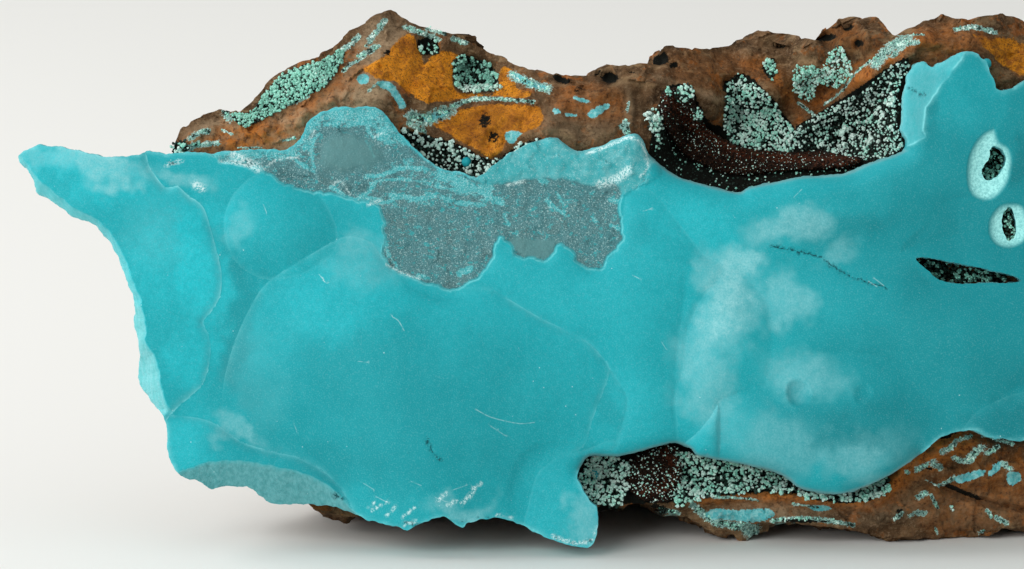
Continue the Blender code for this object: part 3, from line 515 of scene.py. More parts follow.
def lobes() -> dict[str, Lobe]:
    """Lists the lobes, hollows and steps of the crust's face by name."""
    patch = PATCH_EDGE + [(66, 47), (20, 47)]
    middle = (
        [(65, 37.9), (66.9, 35.9), (70, 31.9), (72.4, 29.9), (70.2, 27), (68.9, 24), (68.4, 20),
         (67.6, 17), (67.4, 9), (60, 9)]
        + CRESCENT_RIGHT + GREAT_TOP[:7]
        + [(48.6, 30), (49.7, 32.6), (51.5, 31.6), (54.5, 30.8), (56, 32.3), (59.2, 29.9),
           (61.8, 32.2), (62.3, 35.4), (62.8, 37.9)]
    )
    return {
        "wing": Lobe([(-4, 47), (12, 45)] + WING_LIP + [(13, 10), (2, 18), (-4, 30)],
            0.12, 1.7, 0.8, 0.22),
        "small_dome": Lobe([
            (28, 40.1), (25.4, 39.4), (23.4, 37.6), (22.4, 35.2), (22.6, 32.6), (23.8, 30.4),
            (26, 29.1), (28.4, 29), (31, 29.8), (33.4, 31.6), (33.8, 33.6), (33, 35.8), (31.6, 38),
            (30, 39.4),
        ], 0.03, 1.5, 1.3, 0.2, ((30, 40, 6, 3, 0),)),
        "great_dome": Lobe(GREAT_LEFT + GREAT_RIGHT + GREAT_TOP,
            0.06, 3.2, 1.2, 0.2, ((24, 13, 9, 8, 0), (52, 8, 8, 8, 0), (45, 28.5, 5, 2, 0))),
        "crescent": Lobe(GREAT_LEFT + CRESCENT_RIGHT + GREAT_TOP,
            0.06, 0.3, 0.8, 0.2, ((26, 20, 12, 16, 0), (52, 8, 8, 8, 0))),
        "middle_dome": Lobe(middle, 0.03, 1.4, 1.1, 0.25),
        "frosted_dome": Lobe([
            (69, 30.9), (71.5, 30.9), (74, 29.9), (75.5, 28.4), (76.9, 26.2), (77.3, 22),
            (76.5, 18.6), (73.5, 17.2), (72, 16.4), (71.7, 13.9), (70, 14.2), (67.8, 13.4),
            (67.2, 17), (67.6, 22), (68.2, 27),
        ], 0, 1.2, 1.5),
        "shoulder": Lobe([
            (72, 37), (73.5, 32), (74.5, 30.6), (77.5, 30.3), (82, 31.4), (85, 32), (90.5, 31.9),
            (93.5, 35.2), (96, 36.9), (104, 36), (118, 36), (118, 52), (100, 51), (96, 56),
            (86, 50), (86, 42),
        ], 0, 1.7, 1.3),
        "right_field": Lobe([
            (77.5, 24), (76.6, 27.6), (79, 29.6), (82, 30.6), (85, 31.6), (90.5, 31.6), (93, 29),
            (98, 28.3), (103, 28.2), (118, 29), (116, 20), (107, 19.4), (102, 18), (98.5, 16.2),
            (94, 17), (88, 21), (80, 21.6),
        ], 0, 1.7, 1.5),
        "bead": Lobe([
            (67.6, 11.8), (69.5, 13.4), (71, 15.1), (71.9, 16.4), (72, 12.6), (71.6, 10.4),
            (69, 9), (67, 10.2),
        ], 0.22, 0.7, 0.7, 0.18),
        "foot_dome": Lobe([
            (72, 17.2), (74, 17.6), (76.5, 18.6), (80, 21.2), (84, 21.6), (88, 20.7), (93.5, 16.7),
            (96.5, 13), (92, 5), (76, 5), (72.2, 11), (72, 14),
        ], 0, 1.9, 1.5),
        "right_lobe": Lobe([
            (97, 14.9), (100, 16.9), (102, 17.6), (107, 19), (113, 22), (114, 10), (96, 10),
        ], 0.05, 1, 1.2),
        "lower_left_lobe": Lobe([
            (12, 15.4), (17.2, 15.4), (20, 15.1), (21.8, 14.4), (24, 12.8), (27, 11.8), (30, 11.1),
            (33, 9.2), (35, 6), (34, 1), (12, 1),
        ], 0.16, 1.2, 0.8, 0.3),
        "lower_tip": Lobe([
            (52.6, 0), (53.2, 8), (55, 10.7), (58.5, 11.9), (62, 12), (62, 0),
        ], 0.06, 0.9, 0.9),
        "patch_nodule": Lobe([
            (31.8, 40.4), (31.9, 41.9), (32.6, 43.1), (33.9, 43.6), (35.6, 43.5), (37, 42.9),
            (38.2, 41.9), (38, 40.8), (36.8, 39.9), (35, 39.6), (33.2, 39.7),
        ], 0.04, 0.5, 0.9, 0.3, (), 0.35),
        "pale_band": Lobe([
            (48, 38.4), (50, 38.4), (53, 38.8), (56, 38.9), (59, 38.2), (61.4, 38.3), (62.4, 37.2),
            (63.6, 38.1), (66, 39.5), (66, 46), (50, 46), (46.5, 40),
        ], 0.2, 0.35, 0.6, 0.2, (), 0.25),
        "fractured_patch": Lobe(patch, -0.32, -0.1, 0.5, 0.08, (), 0.3),
        "round_dimple": Lobe([
            (78.5, 17.5), (78.7, 18.6), (79.6, 19.1), (80.7, 18.7), (81.2, 17.6), (80.8, 16.5),
            (79.8, 16.1), (78.9, 16.5),
        ], -0.03, -0.7, 1),
        "faint_dimple": Lobe([
            (85.2, 17.2), (85.6, 18.4), (86.8, 18.6), (87.4, 17.6), (86.8, 16.6), (85.8, 16.4),
        ], 0, -0.25, 1),
        "upper_dish": Lobe(UPPER_DISH, -0.15, -0.9, 0.9, 0.3),
        "lower_dish": Lobe(LOWER_DISH, -0.15, -0.7, 0.9, 0.3),
    }


# Broken faces of the crust, which fall away from their inner edge: slope and outline
BREAKS: dict[str, tuple[float, Outline]] = {
    "wing_break": (1.6, [
        (2.6, 40.8), (3.9, 39), (7.6, 36.1), (9.8, 35), (11.9, 32.5), (13.6, 28.2), (13.8, 26.2),
        (8, 24), (-2, 36), (0, 42),
    ]),
    "left_break": (1.5, [
        (13.6, 26.8), (14.7, 23.7), (14.7, 22.7), (15.7, 20.9), (16.6, 16.9), (16.7, 15.4),
        (12, 12), (6, 20), (8, 27),
    ]),
    "bottom_break": (1, [
        (19.5, 10.4), (21.5, 10.9), (25, 10.8), (31, 9.4), (34.5, 6.9), (37, 3), (34, 0), (14, 0),
        (16, 8),
    ]),
    "peak_break": (0.7, [
        (96.4, 53), (93.4, 47.4), (92.5, 45.9), (92.2, 44), (92, 42.9), (86, 42), (86, 53),
    ]),
    "under_peak": (0.3, [
        (90, 31.9), (91.5, 33.6), (92.5, 34.4), (94.5, 36.4), (96, 36.9), (104, 36), (118, 36),
        (118, 29), (102, 29.3), (92, 31.2),
    ]),
}


# Dark hairline cracks of the crust with their depth, and white scratches on it
CRACKS: Lines = [
    ([(77.2, 32.2), (80, 31.7), (82, 31.2), (83.4, 30.2), (84.6, 29.5), (88.6, 28.1)], 0.1),
    ([(42.7, 13.1), (43.2, 12), (44, 10.9)], 0.08),
    ([(91, 48.2), (91.6, 47.6), (92.4, 47.5)], 0.12),
]
SCRATCHES: Lines = [
    ([(47.8, 15.9), (49.2, 15.2), (51.8, 14.6), (53.5, 14.7)], 0.45),
    ([(49, 14.4), (50.5, 13.4)], 0.35), ([(39.3, 25.2), (39.9, 24.8), (40.4, 23.9)], 0.6),
    ([(86.8, 28.8), (87.7, 28.2)], 0.5), ([(87.5, 29), (88.4, 28.3)], 0.5),
    ([(32, 29.4), (32.4, 28.9), (32.3, 29.2)], 0.8),
    ([(32.3, 28.9), (32.7, 28.6), (33, 28.7)], 0.8), ([(35.9, 20.8), (36.8, 20.7)], 0.35),
    ([(63.2, 29.4), (63.8, 29.1)], 0.5), ([(64.4, 35.8), (65, 36)], 0.45),
    ([(79.4, 37.2), (80.2, 38)], 0.35), ([(29.4, 14.6), (29.7, 13.8)], 0.3),
    ([(45.4, 8), (46.6, 8.4)], 0.4), ([(41.2, 8.8), (42.2, 8.4)], 0.4),
    ([(37.8, 7.2), (38.8, 6.7)], 0.45), ([(36.4, 8.6), (37.4, 8)], 0.4),
    ([(43.6, 7.2), (44.6, 6.8)], 0.4), ([(26.4, 36.4), (26.7, 35.6)], 0.5),
    ([(66.2, 22.6), (66.6, 22)], 0.3),
]
CRUST_SPECKS = [
    (41.2, 4.5, 1.2, 0.35, -10), (45.8, 5, 1, 0.4, 0), (56.6, 3, 1.8, 0.3, -10),
    (48.4, 5.2, 0.8, 0.2, 0), (33.8, 7.2, 0.8, 0.5, -30), (59, 2.9, 0.6, 0.25, 0),
    (40.4, 12.4, 1, 0.2, -60), (17.2, 40.6, 0.5, 0.3, 0),
]
# Turquoise veins and white glints of the fractured patch: line and half width
PATCH_VEINS: Lines = [
    ([(31.5, 40), (31.2, 41.2), (31.3, 42.6), (31.9, 43.6)], 0.14),
    ([(29.4, 42.4), (31.6, 45), (33.4, 45.7), (35.2, 45.9), (36.6, 45.6)], 0.5),
    ([(36.8, 45.6), (37.8, 46), (38.8, 45.2), (39.6, 44), (40.6, 42.8)], 0.45),
    ([(32.4, 44.4), (33.8, 44.7), (35.4, 44.5), (37, 44.6)], 0.2),
    ([(36.4, 45.2), (36.8, 44), (37.4, 43.2), (38.2, 43.4)], 0.16),
    ([(36.6, 42.8), (37, 42.2), (37.4, 41.2)], 0.1),
    ([(36.6, 39.2), (38.4, 39.5), (40.2, 40.1), (42, 40)], 0.22),
    ([(37, 38.6), (39, 39), (41.6, 38.8), (44, 38.2), (47, 37.6)], 0.14),
    ([(33.2, 38.2), (34.6, 37.2), (35.8, 37), (37.4, 38.4)], 0.22),
    ([(36, 36.7), (37.4, 37.1), (38.4, 36.6), (40, 37.2), (41.4, 37)], 0.2),
    ([(20.4, 41.3), (23.4, 41.4), (26.4, 41.7), (29.4, 41.8)], 0.55),
    ([(29.6, 40.9), (30.4, 40.3), (31.4, 39.8)], 0.2),
    ([(39, 37.4), (41, 37), (43.6, 37.2), (46.2, 36.6), (48.6, 36.4)], 0.2),
    ([(44, 39.6), (45.6, 38.8), (47.4, 38), (48.8, 38)], 0.5),
    ([(48.4, 37.8), (49.2, 37), (50, 36.8)], 0.4), ([(54, 39), (54.6, 38.7)], 0.25),
    ([(54.6, 37), (55.6, 36), (56.4, 35.6)], 0.2), ([(55.8, 37.4), (56.4, 36.4)], 0.15),
    ([(59.2, 35.2), (59.6, 34.6)], 0.16), ([(61, 37), (62, 36.8)], 0.25),
    ([(50.4, 35.4), (50.9, 34.4)], 0.18), ([(42.8, 37.5), (43.4, 37.3)], 0.25),
    ([(41.8, 29.4), (42.4, 29.2)], 0.2), ([(46, 29.5), (47, 30)], 0.3),
    ([(61, 34.4), (62, 34)], 0.15), ([(38.4, 33), (38.9, 31.4), (39.6, 30.4)], 0.16),
]
# The glints are partly white chips and partly painted highlight along lit edges
PATCH_GLINTS: Lines = [
    ([(26.4, 39.9), (27.6, 40.9), (30, 41.2)], 0.07),
    ([(23.4, 41.4), (24.6, 40.8), (25.8, 40.1)], 0.35),
    ([(22, 40.8), (24, 40.5), (26, 39.9)], 0.14), ([(31, 43), (31.4, 43.9)], 0.1),
    ([(37.4, 43.2), (38.2, 43.6)], 0.08), ([(33.2, 38.4), (34, 38.8), (35, 37.5)], 0.07),
    ([(36.8, 36.4), (38, 36.9)], 0.12), ([(60, 38.5), (61.6, 39), (62.8, 39.9)], 0.35),
    ([(52.4, 38.8), (50.8, 38.4)], 0.12), ([(64.6, 41.6), (64.8, 40.2), (64, 39.2)], 0.08),
    ([(58.8, 41.6), (61, 42.4), (62.6, 43.1), (63.6, 43), (64.3, 42.4), (64.7, 41.2)], 0.13),
    ([(19.6, 38.4), (20.2, 38.1)], 0.3), ([(37, 5.7), (38.9, 6.9)], 0.06),
    ([(36.9, 6.2), (37.6, 6.8)], 0.05), ([(38.7, 5.4), (39.6, 6.3)], 0.09),
    ([(40, 5), (41.5, 6.2)], 0.05), ([(43.8, 6.9), (44.6, 7.6)], 0.11),
    ([(44.8, 6.4), (45.6, 6.9)], 0.12), ([(46.2, 6.6), (47.4, 7.8)], 0.13),
    ([(47.3, 8.1), (48.2, 8.6)], 0.09),
    ([(55.2, 3.3), (56.8, 2.8), (58.2, 2.7), (59.3, 2.9)], 0.12),
    ([(59.4, 3.2), (59.7, 4.4)], 0.07), ([(40.3, 4.5), (41.6, 4.8)], 0.1),
    ([(49.6, 5.4), (51.2, 5.2)], 0.07), ([(38.6, 30.5), (40.2, 29.6), (42, 29)], 0.09),
    ([(16.6, 40.4), (18.2, 40.8)], 0.12),
]
PATCH_STRIP: Outline = [
    (50.9, 32.9), (51.6, 33.2), (53.4, 33), (55.2, 33), (56.1, 32.4), (54.4, 30.9), (52.6, 31.1),
    (51.6, 31.8),
]
PATCH_TEAL = [
    (34.4, 45.2, 5, 1.3, 4, 0.95), (38.9, 44, 2.4, 2, -50, 0.95), (25, 41.3, 6, 0.8, 0, 0.5),
    (42, 39.6, 4.4, 1.5, -22, 0.4), (56, 36, 2, 2.4, 0, 0.25), (44, 37.2, 7, 1.4, -6, 0.3),
    (30.2, 42.6, 1.8, 2.4, 30, 0.7), (37.6, 36.8, 3.4, 0.9, -6, 0.36),
    (39.2, 31.6, 1.2, 3, 20, 0.2), (48.6, 37.4, 2.4, 1, -10, 0.4),
]
# Ovals of painted shade on the fractured patch, beside its dark shards and edge
PATCH_GLOOM = [
    (28.4, 39.4, 1.8, 1.1, -20, 0.8), (34.6, 38.1, 0.9, 0.6, -25, 1), (36.4, 38.1, 0.8, 0.7, 0, 1),
    (41, 31, 2.6, 1.6, -30, 0.35), (20.4, 41, 0.9, 0.4, -35, 0.9),
    (14.9, 40.9, 1.2, 0.5, -10, 0.7), (60, 36.6, 1.6, 1.4, 0, 0.35), (42, 38.6, 1.4, 0.5, 0, 0.5),
]


@dataclass
class CrustForm:
    """The shape of the rosasite crust: its lobed face and its hidden back."""

    thickness: float = 4.2
    thickness_wave: float = 0.8
    wing_thinning: float = 1.6
    thinnest: float = 0.5
    pocket_rim: float = 2.2
    foot_rim: float = 1.8
    top_rim: float = 1.0
    lobes: dict[str, Lobe] = field(default_factory=lobes)

    def __post_init__(self) -> None:
        """Prepares the outline, the rolled rims and the broken faces."""
        self.outline = Region(CRUST_OUTLINE)
        self.rims = [(rounded_line(corners, False), radius) for corners, radius in (
            ([CRUST_TOP[-1]] + CRUST_POCKET_RIM, self.pocket_rim),
            (CRUST_FOOT_RIM, self.foot_rim), (CRUST_TOP[-8:], self.top_rim),
        )]
        self.breaks = {name: Region(corners, 0.14) for name, (_, corners) in BREAKS.items()}

    def level(self, points: Array) -> Array:
        """Gives the gentle bow of the whole crust at points of the face."""
        u = points[:, 0]
        return -0.0035 * np.maximum(u - 80.0, 0.0) ** 2 - 0.006 * np.maximum(20.0 - u, 0.0) ** 2

    def back(self, points: Array) -> Array:
        """Gives the hidden face of the crust, which the matrix follows."""
        thinning = self.wing_thinning * ramp(-points[:, 0], -14.0, -3.0)
        thickness = self.thickness + self.thickness_wave * waves(points, 16.0, 5, 1) - thinning
        return self.level(points) - thickness

    def front(self, points: Array, depths: Marks) -> Array:
        """Gives the lobed face of the crust.

        Args:
            points: Points of the face.
            depths: How deep each point lies in each lobe and broken face, by name.

        Returns:
            The level w, in millimetres.
        """
        height = self.level(points)
        for name, lobe in self.lobes.items():
            height += lobe.height(points, depths[name])
        for name, (slope, _) in BREAKS.items():
            height -= slope * np.maximum(depths[name], 0.0)
        for line, radius in self.rims:
            near = np.clip(distance_to_line(points, line, False) / radius, 0.0, 1.0)
            height -= radius * (1.0 - np.sqrt(1.0 - (1.0 - near) ** 2))
        height += 0.10 * waves(points, 7.0, 41, 2) + 0.022 * waves(points, 0.8, 42, 3)
        patch = ramp(depths["fractured_patch"], 0.0, 0.3)
        rough = patch * (1.0 - 0.8 * ramp(depths["patch_nodule"], -0.3, 0.5))
        height += rough * (0.14 * waves(points, 1.3, 43, 5) + 0.16 * facets(points, 1.5, 44))
        broken = np.max([ramp(depths[name], 0.0, 0.4) for name in BREAKS
                         if name != "under_peak"], axis=0)
        height += broken * (0.10 * waves(points * (1.0, 0.3), 0.7, 45) - 0.05)
        uneven = 0.5 + waves(points, 0.8, 47, 2)
        for corners, depth in CRACKS:
            height -= depth * along_line(points, corners, 0.3, 0.0, 0.16) * uneven
        return np.maximum(height, self.back(points) + self.thinnest)

    def depths(self, points: Array) -> Marks:
        """Measures how deep points of the face lie in each lobe and broken face, by name."""
        areas = {name: lobe.region for name, lobe in self.lobes.items()} | self.breaks
        return {name: region.depth(points) for name, region in areas.items()}


# Ridges and grooves of the rock's face: line, half width and height
ROCK_RIDGES: list[tuple[Outline, float, float]] = [
    ([(93, 53.6), (88.6, 50.5), (84.6, 47.1), (80.4, 44.3)], 1.1, 1.9),
    ([(66.6, 49.6), (69.4, 48), (71.2, 46.4), (72.6, 45)], 1.3, 1),
    ([(73.6, 50.4), (75.6, 50), (77.6, 47.8), (80.4, 44.2)], 0.8, 0.8),
    ([(67.6, 6.3), (69.6, 6.9), (78, 7.3), (85, 6.4), (88, 6.8), (89.6, 8.6), (90.6, 11.2),
     (92.8, 12.9)], 0.7, 0.9),
    ([(69, 5), (73, 4.2), (78, 4.8), (90, 4.4)], 0.6, 0.5), ([(72.2, 5.3), (76.8, 5.2)], 0.8, 0.7),
    ([(88.5, 4.8), (95, 7.9), (102.4, 9.8), (108, 11.5)], 0.9, 0.9),
    ([(94.4, 8), (97.5, 6.9), (100.2, 6.1), (104, 5.6)], 0.35, -1),
    ([(90, 11), (94, 11.6), (98.5, 12.4), (104, 12.6)], 0.9, 0.6),
    ([(18.8, 43.2), (22, 44.6), (25, 44), (29, 44.8), (33, 47)], 0.7, 0.6),
    ([(33.5, 51), (36.5, 50.2), (39.5, 52.6), (41, 53.8)], 0.8, 0.6),
    ([(36.5, 48.8), (38.6, 48.6), (40.2, 47.2), (40.6, 45.6)], 0.5, 0.5),
    ([(41.5, 45.8), (45, 47), (48.5, 47.2), (53.6, 46.9)], 0.4, 0.35),
    ([(56, 46.4), (60, 47.6), (64, 48.8), (66.4, 49)], 0.8, 0.5),
    ([(74.6, 52), (78, 51.8), (82, 52.6), (86, 52.8), (89, 52.2)], 0.8, 0.6),
    ([(92, 53), (96, 52.2), (98, 50.9)], 0.6, 0.7),
]
# Pits and knobs of the rock's face: u, v, radius and height
ROCK_SPOTS: list[tuple[float, float, float, float]] = [
    (61.2, 49.4, 0.9, -1.5), (60, 49.6, 0.5, -0.6), (66.5, 51.3, 0.8, -1), (67.6, 50.7, 0.6, -0.8),
    (56.2, 49.1, 0.7, -0.8), (83.3, 53.4, 1, -1.3), (85.2, 54.5, 0.5, -0.8),
    (86.2, 52.8, 0.5, -0.6), (78.5, 52.9, 0.6, -0.8), (58.4, 48.3, 0.25, -0.4),
    (57.6, 48, 0.2, -0.3), (42.6, 52.8, 1.1, -1), (73, 48.9, 0.6, -1), (38.9, 52, 0.4, -0.4),
    (48.4, 45.4, 0.8, -0.5), (49.2, 43.6, 0.7, -0.4), (63.2, 49.9, 0.3, -0.4),
    (87.6, 53.6, 1.2, 0.7), (67.2, 51.5, 1.6, 0.7), (60.8, 49.3, 1.8, 0.5), (70.5, 51, 2.5, 0.5),
    (92, 7.4, 0.5, -0.4), (90.6, 5.4, 0.5, -0.4),
]


@dataclass
class RockForm:
    """The shape of the limonite matrix behind and beside the crust."""

    crust: CrustForm
    gap: float = 0.45
    roughness: float = 0.8
    top_slope: float = 0.85
    foot_slope: float = 0.35
    thinnest: float = 3.0

    def __post_init__(self) -> None:
        """Prepares the hollows of the rock: area, depth and width of the flank."""
        hollows = ((UPPER_POCKET, 6.0, 4.0), (LOWER_POCKET, 3.0, 2.2), (NOTCH, 1.6, 1.5),
                   (VUG, 1.8, 1.4))
        self.hollows = [(Region(corners), depth, flank) for corners, depth, flank in hollows]

    def front(self, points: Array) -> Array:
        """Gives the face of the rock.

        Args:
            points: Points of the face.

        Returns:
            The level w, in millimetres.
        """
        outside = -self.crust.outline.depth(points, 20.0)
        upper = ramp(points[:, 1], 20.0, 34.0)
        slope = self.foot_slope + (self.top_slope - self.foot_slope) * upper
        height = self.crust.back(points) - self.gap
        height -= slope * np.maximum(outside - 1.0, 0.0)
        bare = ramp(outside, 1.0, 3.5)
        height += bare * self.roughness * 1.6 * waves(points, 5.5, 3)
        for region, depth, flank in self.hollows:
            height -= depth * ramp(region.depth(points), 0.0, flank)
        relief = 0.40 * facets(points, 3.2, 51) + 0.22 * facets(points, 1.1, 55)
        relief += 0.12 * waves(points, 0.7, 52, 5)
        relief -= 0.25 * ramp(waves(points, 1.7, 53, 4), 0.3, 0.6)
        frayed = 0.35 * waves(points, 1.5, 54, 3)
        for corners, width, rise in ROCK_RIDGES:
            line = rounded_line(corners, False, 1.0)
            away = distance_to_line(points, line, False, 2.0 * width) / width
            relief += rise * (1.0 - ramp(away + frayed * (away < 2.0), 0.0, 1.6))
        for u, v, radius, rise in ROCK_SPOTS:
            away = np.hypot(points[:, 0] - u, points[:, 1] - v) / radius
            relief += rise * (1.0 - ramp(away, 0.3, 1.3))
        return height + ramp(outside, -0.5, 1.0) * relief

    def back(self, points: Array, front: Array) -> Array:
        """Gives the broken back of the rock, which stays behind its front."""
        u, v = (points - FACET_CENTRE).T
        depth = np.max([u * across + v * up + w for across, up, w in BACK_FACETS], axis=0)
        depth += self.roughness * 1.75 * waves(points, 13.0, 8)
        return np.minimum(depth, front - self.thinnest)


@dataclass
class SolidSheet:
    """A closed mesh over an area of the face, between a front and a back surface."""

    rings: list[Array]
    front_points: Array
    back_points: Array
    wall_rows: int

    def triangulate(self, inner: Array) -> tuple[Array, Array]:
        """Fills the area with triangles.

        Args:
            inner: Points inside the area.

        Returns:
            The points, and three indices for each triangle.
        """
        edges = []
        for ring in self.rings:
            start, count = len(edges), len(ring)
            edges += [(start + k, start + (k + 1) % count) for k in range(count)]
        every = [Vector(p) for p in np.vstack(self.rings + [inner])]
        made = delaunay_2d_cdt(every, edges, [], 0, 1e-7)
        points = np.array([tuple(p) for p in made[0]])
        faces = np.array([face for face in made[2] if len(face) == 3])
        faces = faces[within(points[faces].mean(axis=1), self.rings)]
        a, b, c = (points[faces[:, k]] for k in range(3))
        ab, ac = b - a, c - a
        turned = ab[:, 0] * ac[:, 1] < ab[:, 1] * ac[:, 0]
        faces[turned] = faces[turned][:, ::-1]
        return points, faces

    def __post_init__(self) -> None:
        """Works out the flat layout of front, back and walls, and the faces between them."""
        self.front, front_faces = self.triangulate(self.front_points)
        self.back, back_faces = self.triangulate(self.back_points)
        ends = np.vstack([front_faces[:, pair] for pair in ([0, 1], [1, 2], [2, 0])])
        there = {(int(a), int(b)) for a, b in ends}
        border = np.array([(a, b) for a, b in there if (b, a) not in there])
        self.rim = np.unique(border)
        keys = {tuple(np.round(p, 4)): index for index, p in enumerate(self.back)}
        self.below = np.array([keys[tuple(np.round(p, 4))] for p in self.front[self.rim]])
        rank = np.full(len(self.front), -1)
        count = len(self.rim)
        rank[self.rim] = np.arange(count)
        a, b = rank[border].T
        self.steps = [1.0 - row / self.wall_rows for row in range(1, self.wall_rows)]
        first_back = len(self.front)
        first_wall = first_back + len(self.back)
        rows = [first_wall + row * count + np.arange(count) for row in range(len(self.steps))]
        rows = [self.rim] + rows + [first_back + self.below]
        walls = []
        for upper, lower in zip(rows[:-1], rows[1:]):
            walls.append(np.column_stack([upper[b], upper[a], lower[a]]))
            walls.append(np.column_stack([upper[b], lower[a], lower[b]]))
        self.flat = np.vstack([self.front, self.back] + [self.front[self.rim]] * len(self.steps))
        shares = [np.ones(len(self.front)), np.zeros(len(self.back))]
        self.share = np.concatenate(shares + [np.full(count, step) for step in self.steps])
        self.faces = np.vstack([front_faces, back_faces[:, ::-1] + first_back] + walls)

    def raise_between(self, front: Array, back: Array) -> Array:
        """Lifts the flat layout onto the levels of its front and its back."""
        rim, foot = front[self.rim], back[self.below]
        rows = [foot + (rim - foot) * step for step in self.steps]
        return np.column_stack([self.flat, np.concatenate([front, back] + rows)])


def even_points(edge: Array, spacing: float, rng: Random, clear: Array | tuple = (),
                clearance: float = 0.0) -> Array:
    """Fills an area with evenly spread points that keep clear of others.

    Args:
        edge: Closed edge of the area.
        spacing: Distance between the points, in millimetres.
        rng: Source of the small shifts.
        clear: Points to keep clear of.
        clearance: How far to keep from them.

    Returns:
        The points inside the area.
    """
    low = edge.min(axis=0)
    high = edge.max(axis=0)
    points = []
    for index, v in enumerate(np.arange(low[1], high[1], spacing * 0.866)):
        u = np.arange(low[0] + (index % 2) * spacing / 2.0, high[0], spacing)
        points.append(np.column_stack([u, np.full(len(u), v)]))
    grid = np.vstack(points)
    grid += rng.uniform(-0.12, 0.12, grid.shape) * spacing
    grid = grid[inside(grid, edge)]
    if len(clear):
        tree = KDTree(len(clear))
        for index, (u, v) in enumerate(clear):
            tree.insert((u, v, 0.0), index)
        tree.balance()
        grid = grid[np.array([tree.find((u, v, 0.0))[2] > clearance for u, v in grid])]
    return grid


def strewn_points(edge: Array, spacing: float, stray: float, rng: Random) -> Array:
    """Fills an area with points that stray from an even spread by a share of the spacing."""
    spots = even_points(edge, spacing, rng)
    return spots + rng.uniform(-stray, stray, spots.shape) * spacing


def spread_line(line: Array, closed: bool, offsets: tuple[float, ...]) -> Array:
    """Copies a line sideways, so that a crease there gets points of its own.

    Args:
        line: Points of the line.
        closed: Whether it returns to its first point.
        offsets: How far each copy is moved, in millimetres.

    Returns:
        The points of all the copies.
    """
    if closed:
        run = np.roll(line, -1, axis=0) - np.roll(line, 1, axis=0)
    else:
        run = np.gradient(line, axis=0)
    across = np.column_stack([-run[:, 1], run[:, 0]])
    across /= np.maximum(np.hypot(across[:, 0], across[:, 1]), 1e-9)[:, None]
    return np.vstack([line + across * offset for offset in offsets])


def thinned(points: Array, cell: float) -> Array:
    """Keeps one point of those that share a small square of the face."""
    _, first = np.unique(np.floor(points / cell).astype(int), axis=0, return_index=True)
    return points[np.sort(first)]


def make_piece(name: str, points: Array, faces: Array, values: Marks,
               material: Material, nodes: tuple[str, ...] = (),
               sharp_deg: float = 60.0) -> None:
    """Makes a piece and gives it its finish and its place on the body.

    Args:
        name: Name of the piece.
        points: Points in metres.
        faces: Three indices for each triangle.
        values: Named values for each point, read by its material.
        material: Its finish.
        nodes: The solids that it stands for.
        sharp_deg: Edges that bend more than this stay sharp; 0 leaves every face flat.
    """
    mesh = bpy.data.meshes.new(name)
    mesh.from_pydata(points.tolist(), [], faces.tolist())
    for key, value in values.items():
        layer = mesh.attributes.new(key, "FLOAT", "POINT")
        layer.data.foreach_set("value", value.astype(np.float32))
    mesh.polygons.foreach_set("use_smooth", np.full(len(mesh.polygons), sharp_deg > 0.0))
    if sharp_deg > 0.0:
        mesh.set_sharp_from_angle(angle=math.radians(sharp_deg))
    piece = bpy.data.objects.new(name, mesh)
    bpy.context.scene.collection.objects.link(piece)
    mesh.materials.append(material)
    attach(piece, "root")
    if nodes:
        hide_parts(*nodes)
    LOG.info("%s: %d triangles", name, len(faces))


class Blend(Enum):
    """How two colours are put together."""

    MIX = "MIX"
    MULTIPLY = "MULTIPLY"


class Sum(Enum):
    """What is worked out from two values."""

    PLUS = "ADD"
    TIMES = "MULTIPLY"
    HIGHEST = "MAXIMUM"


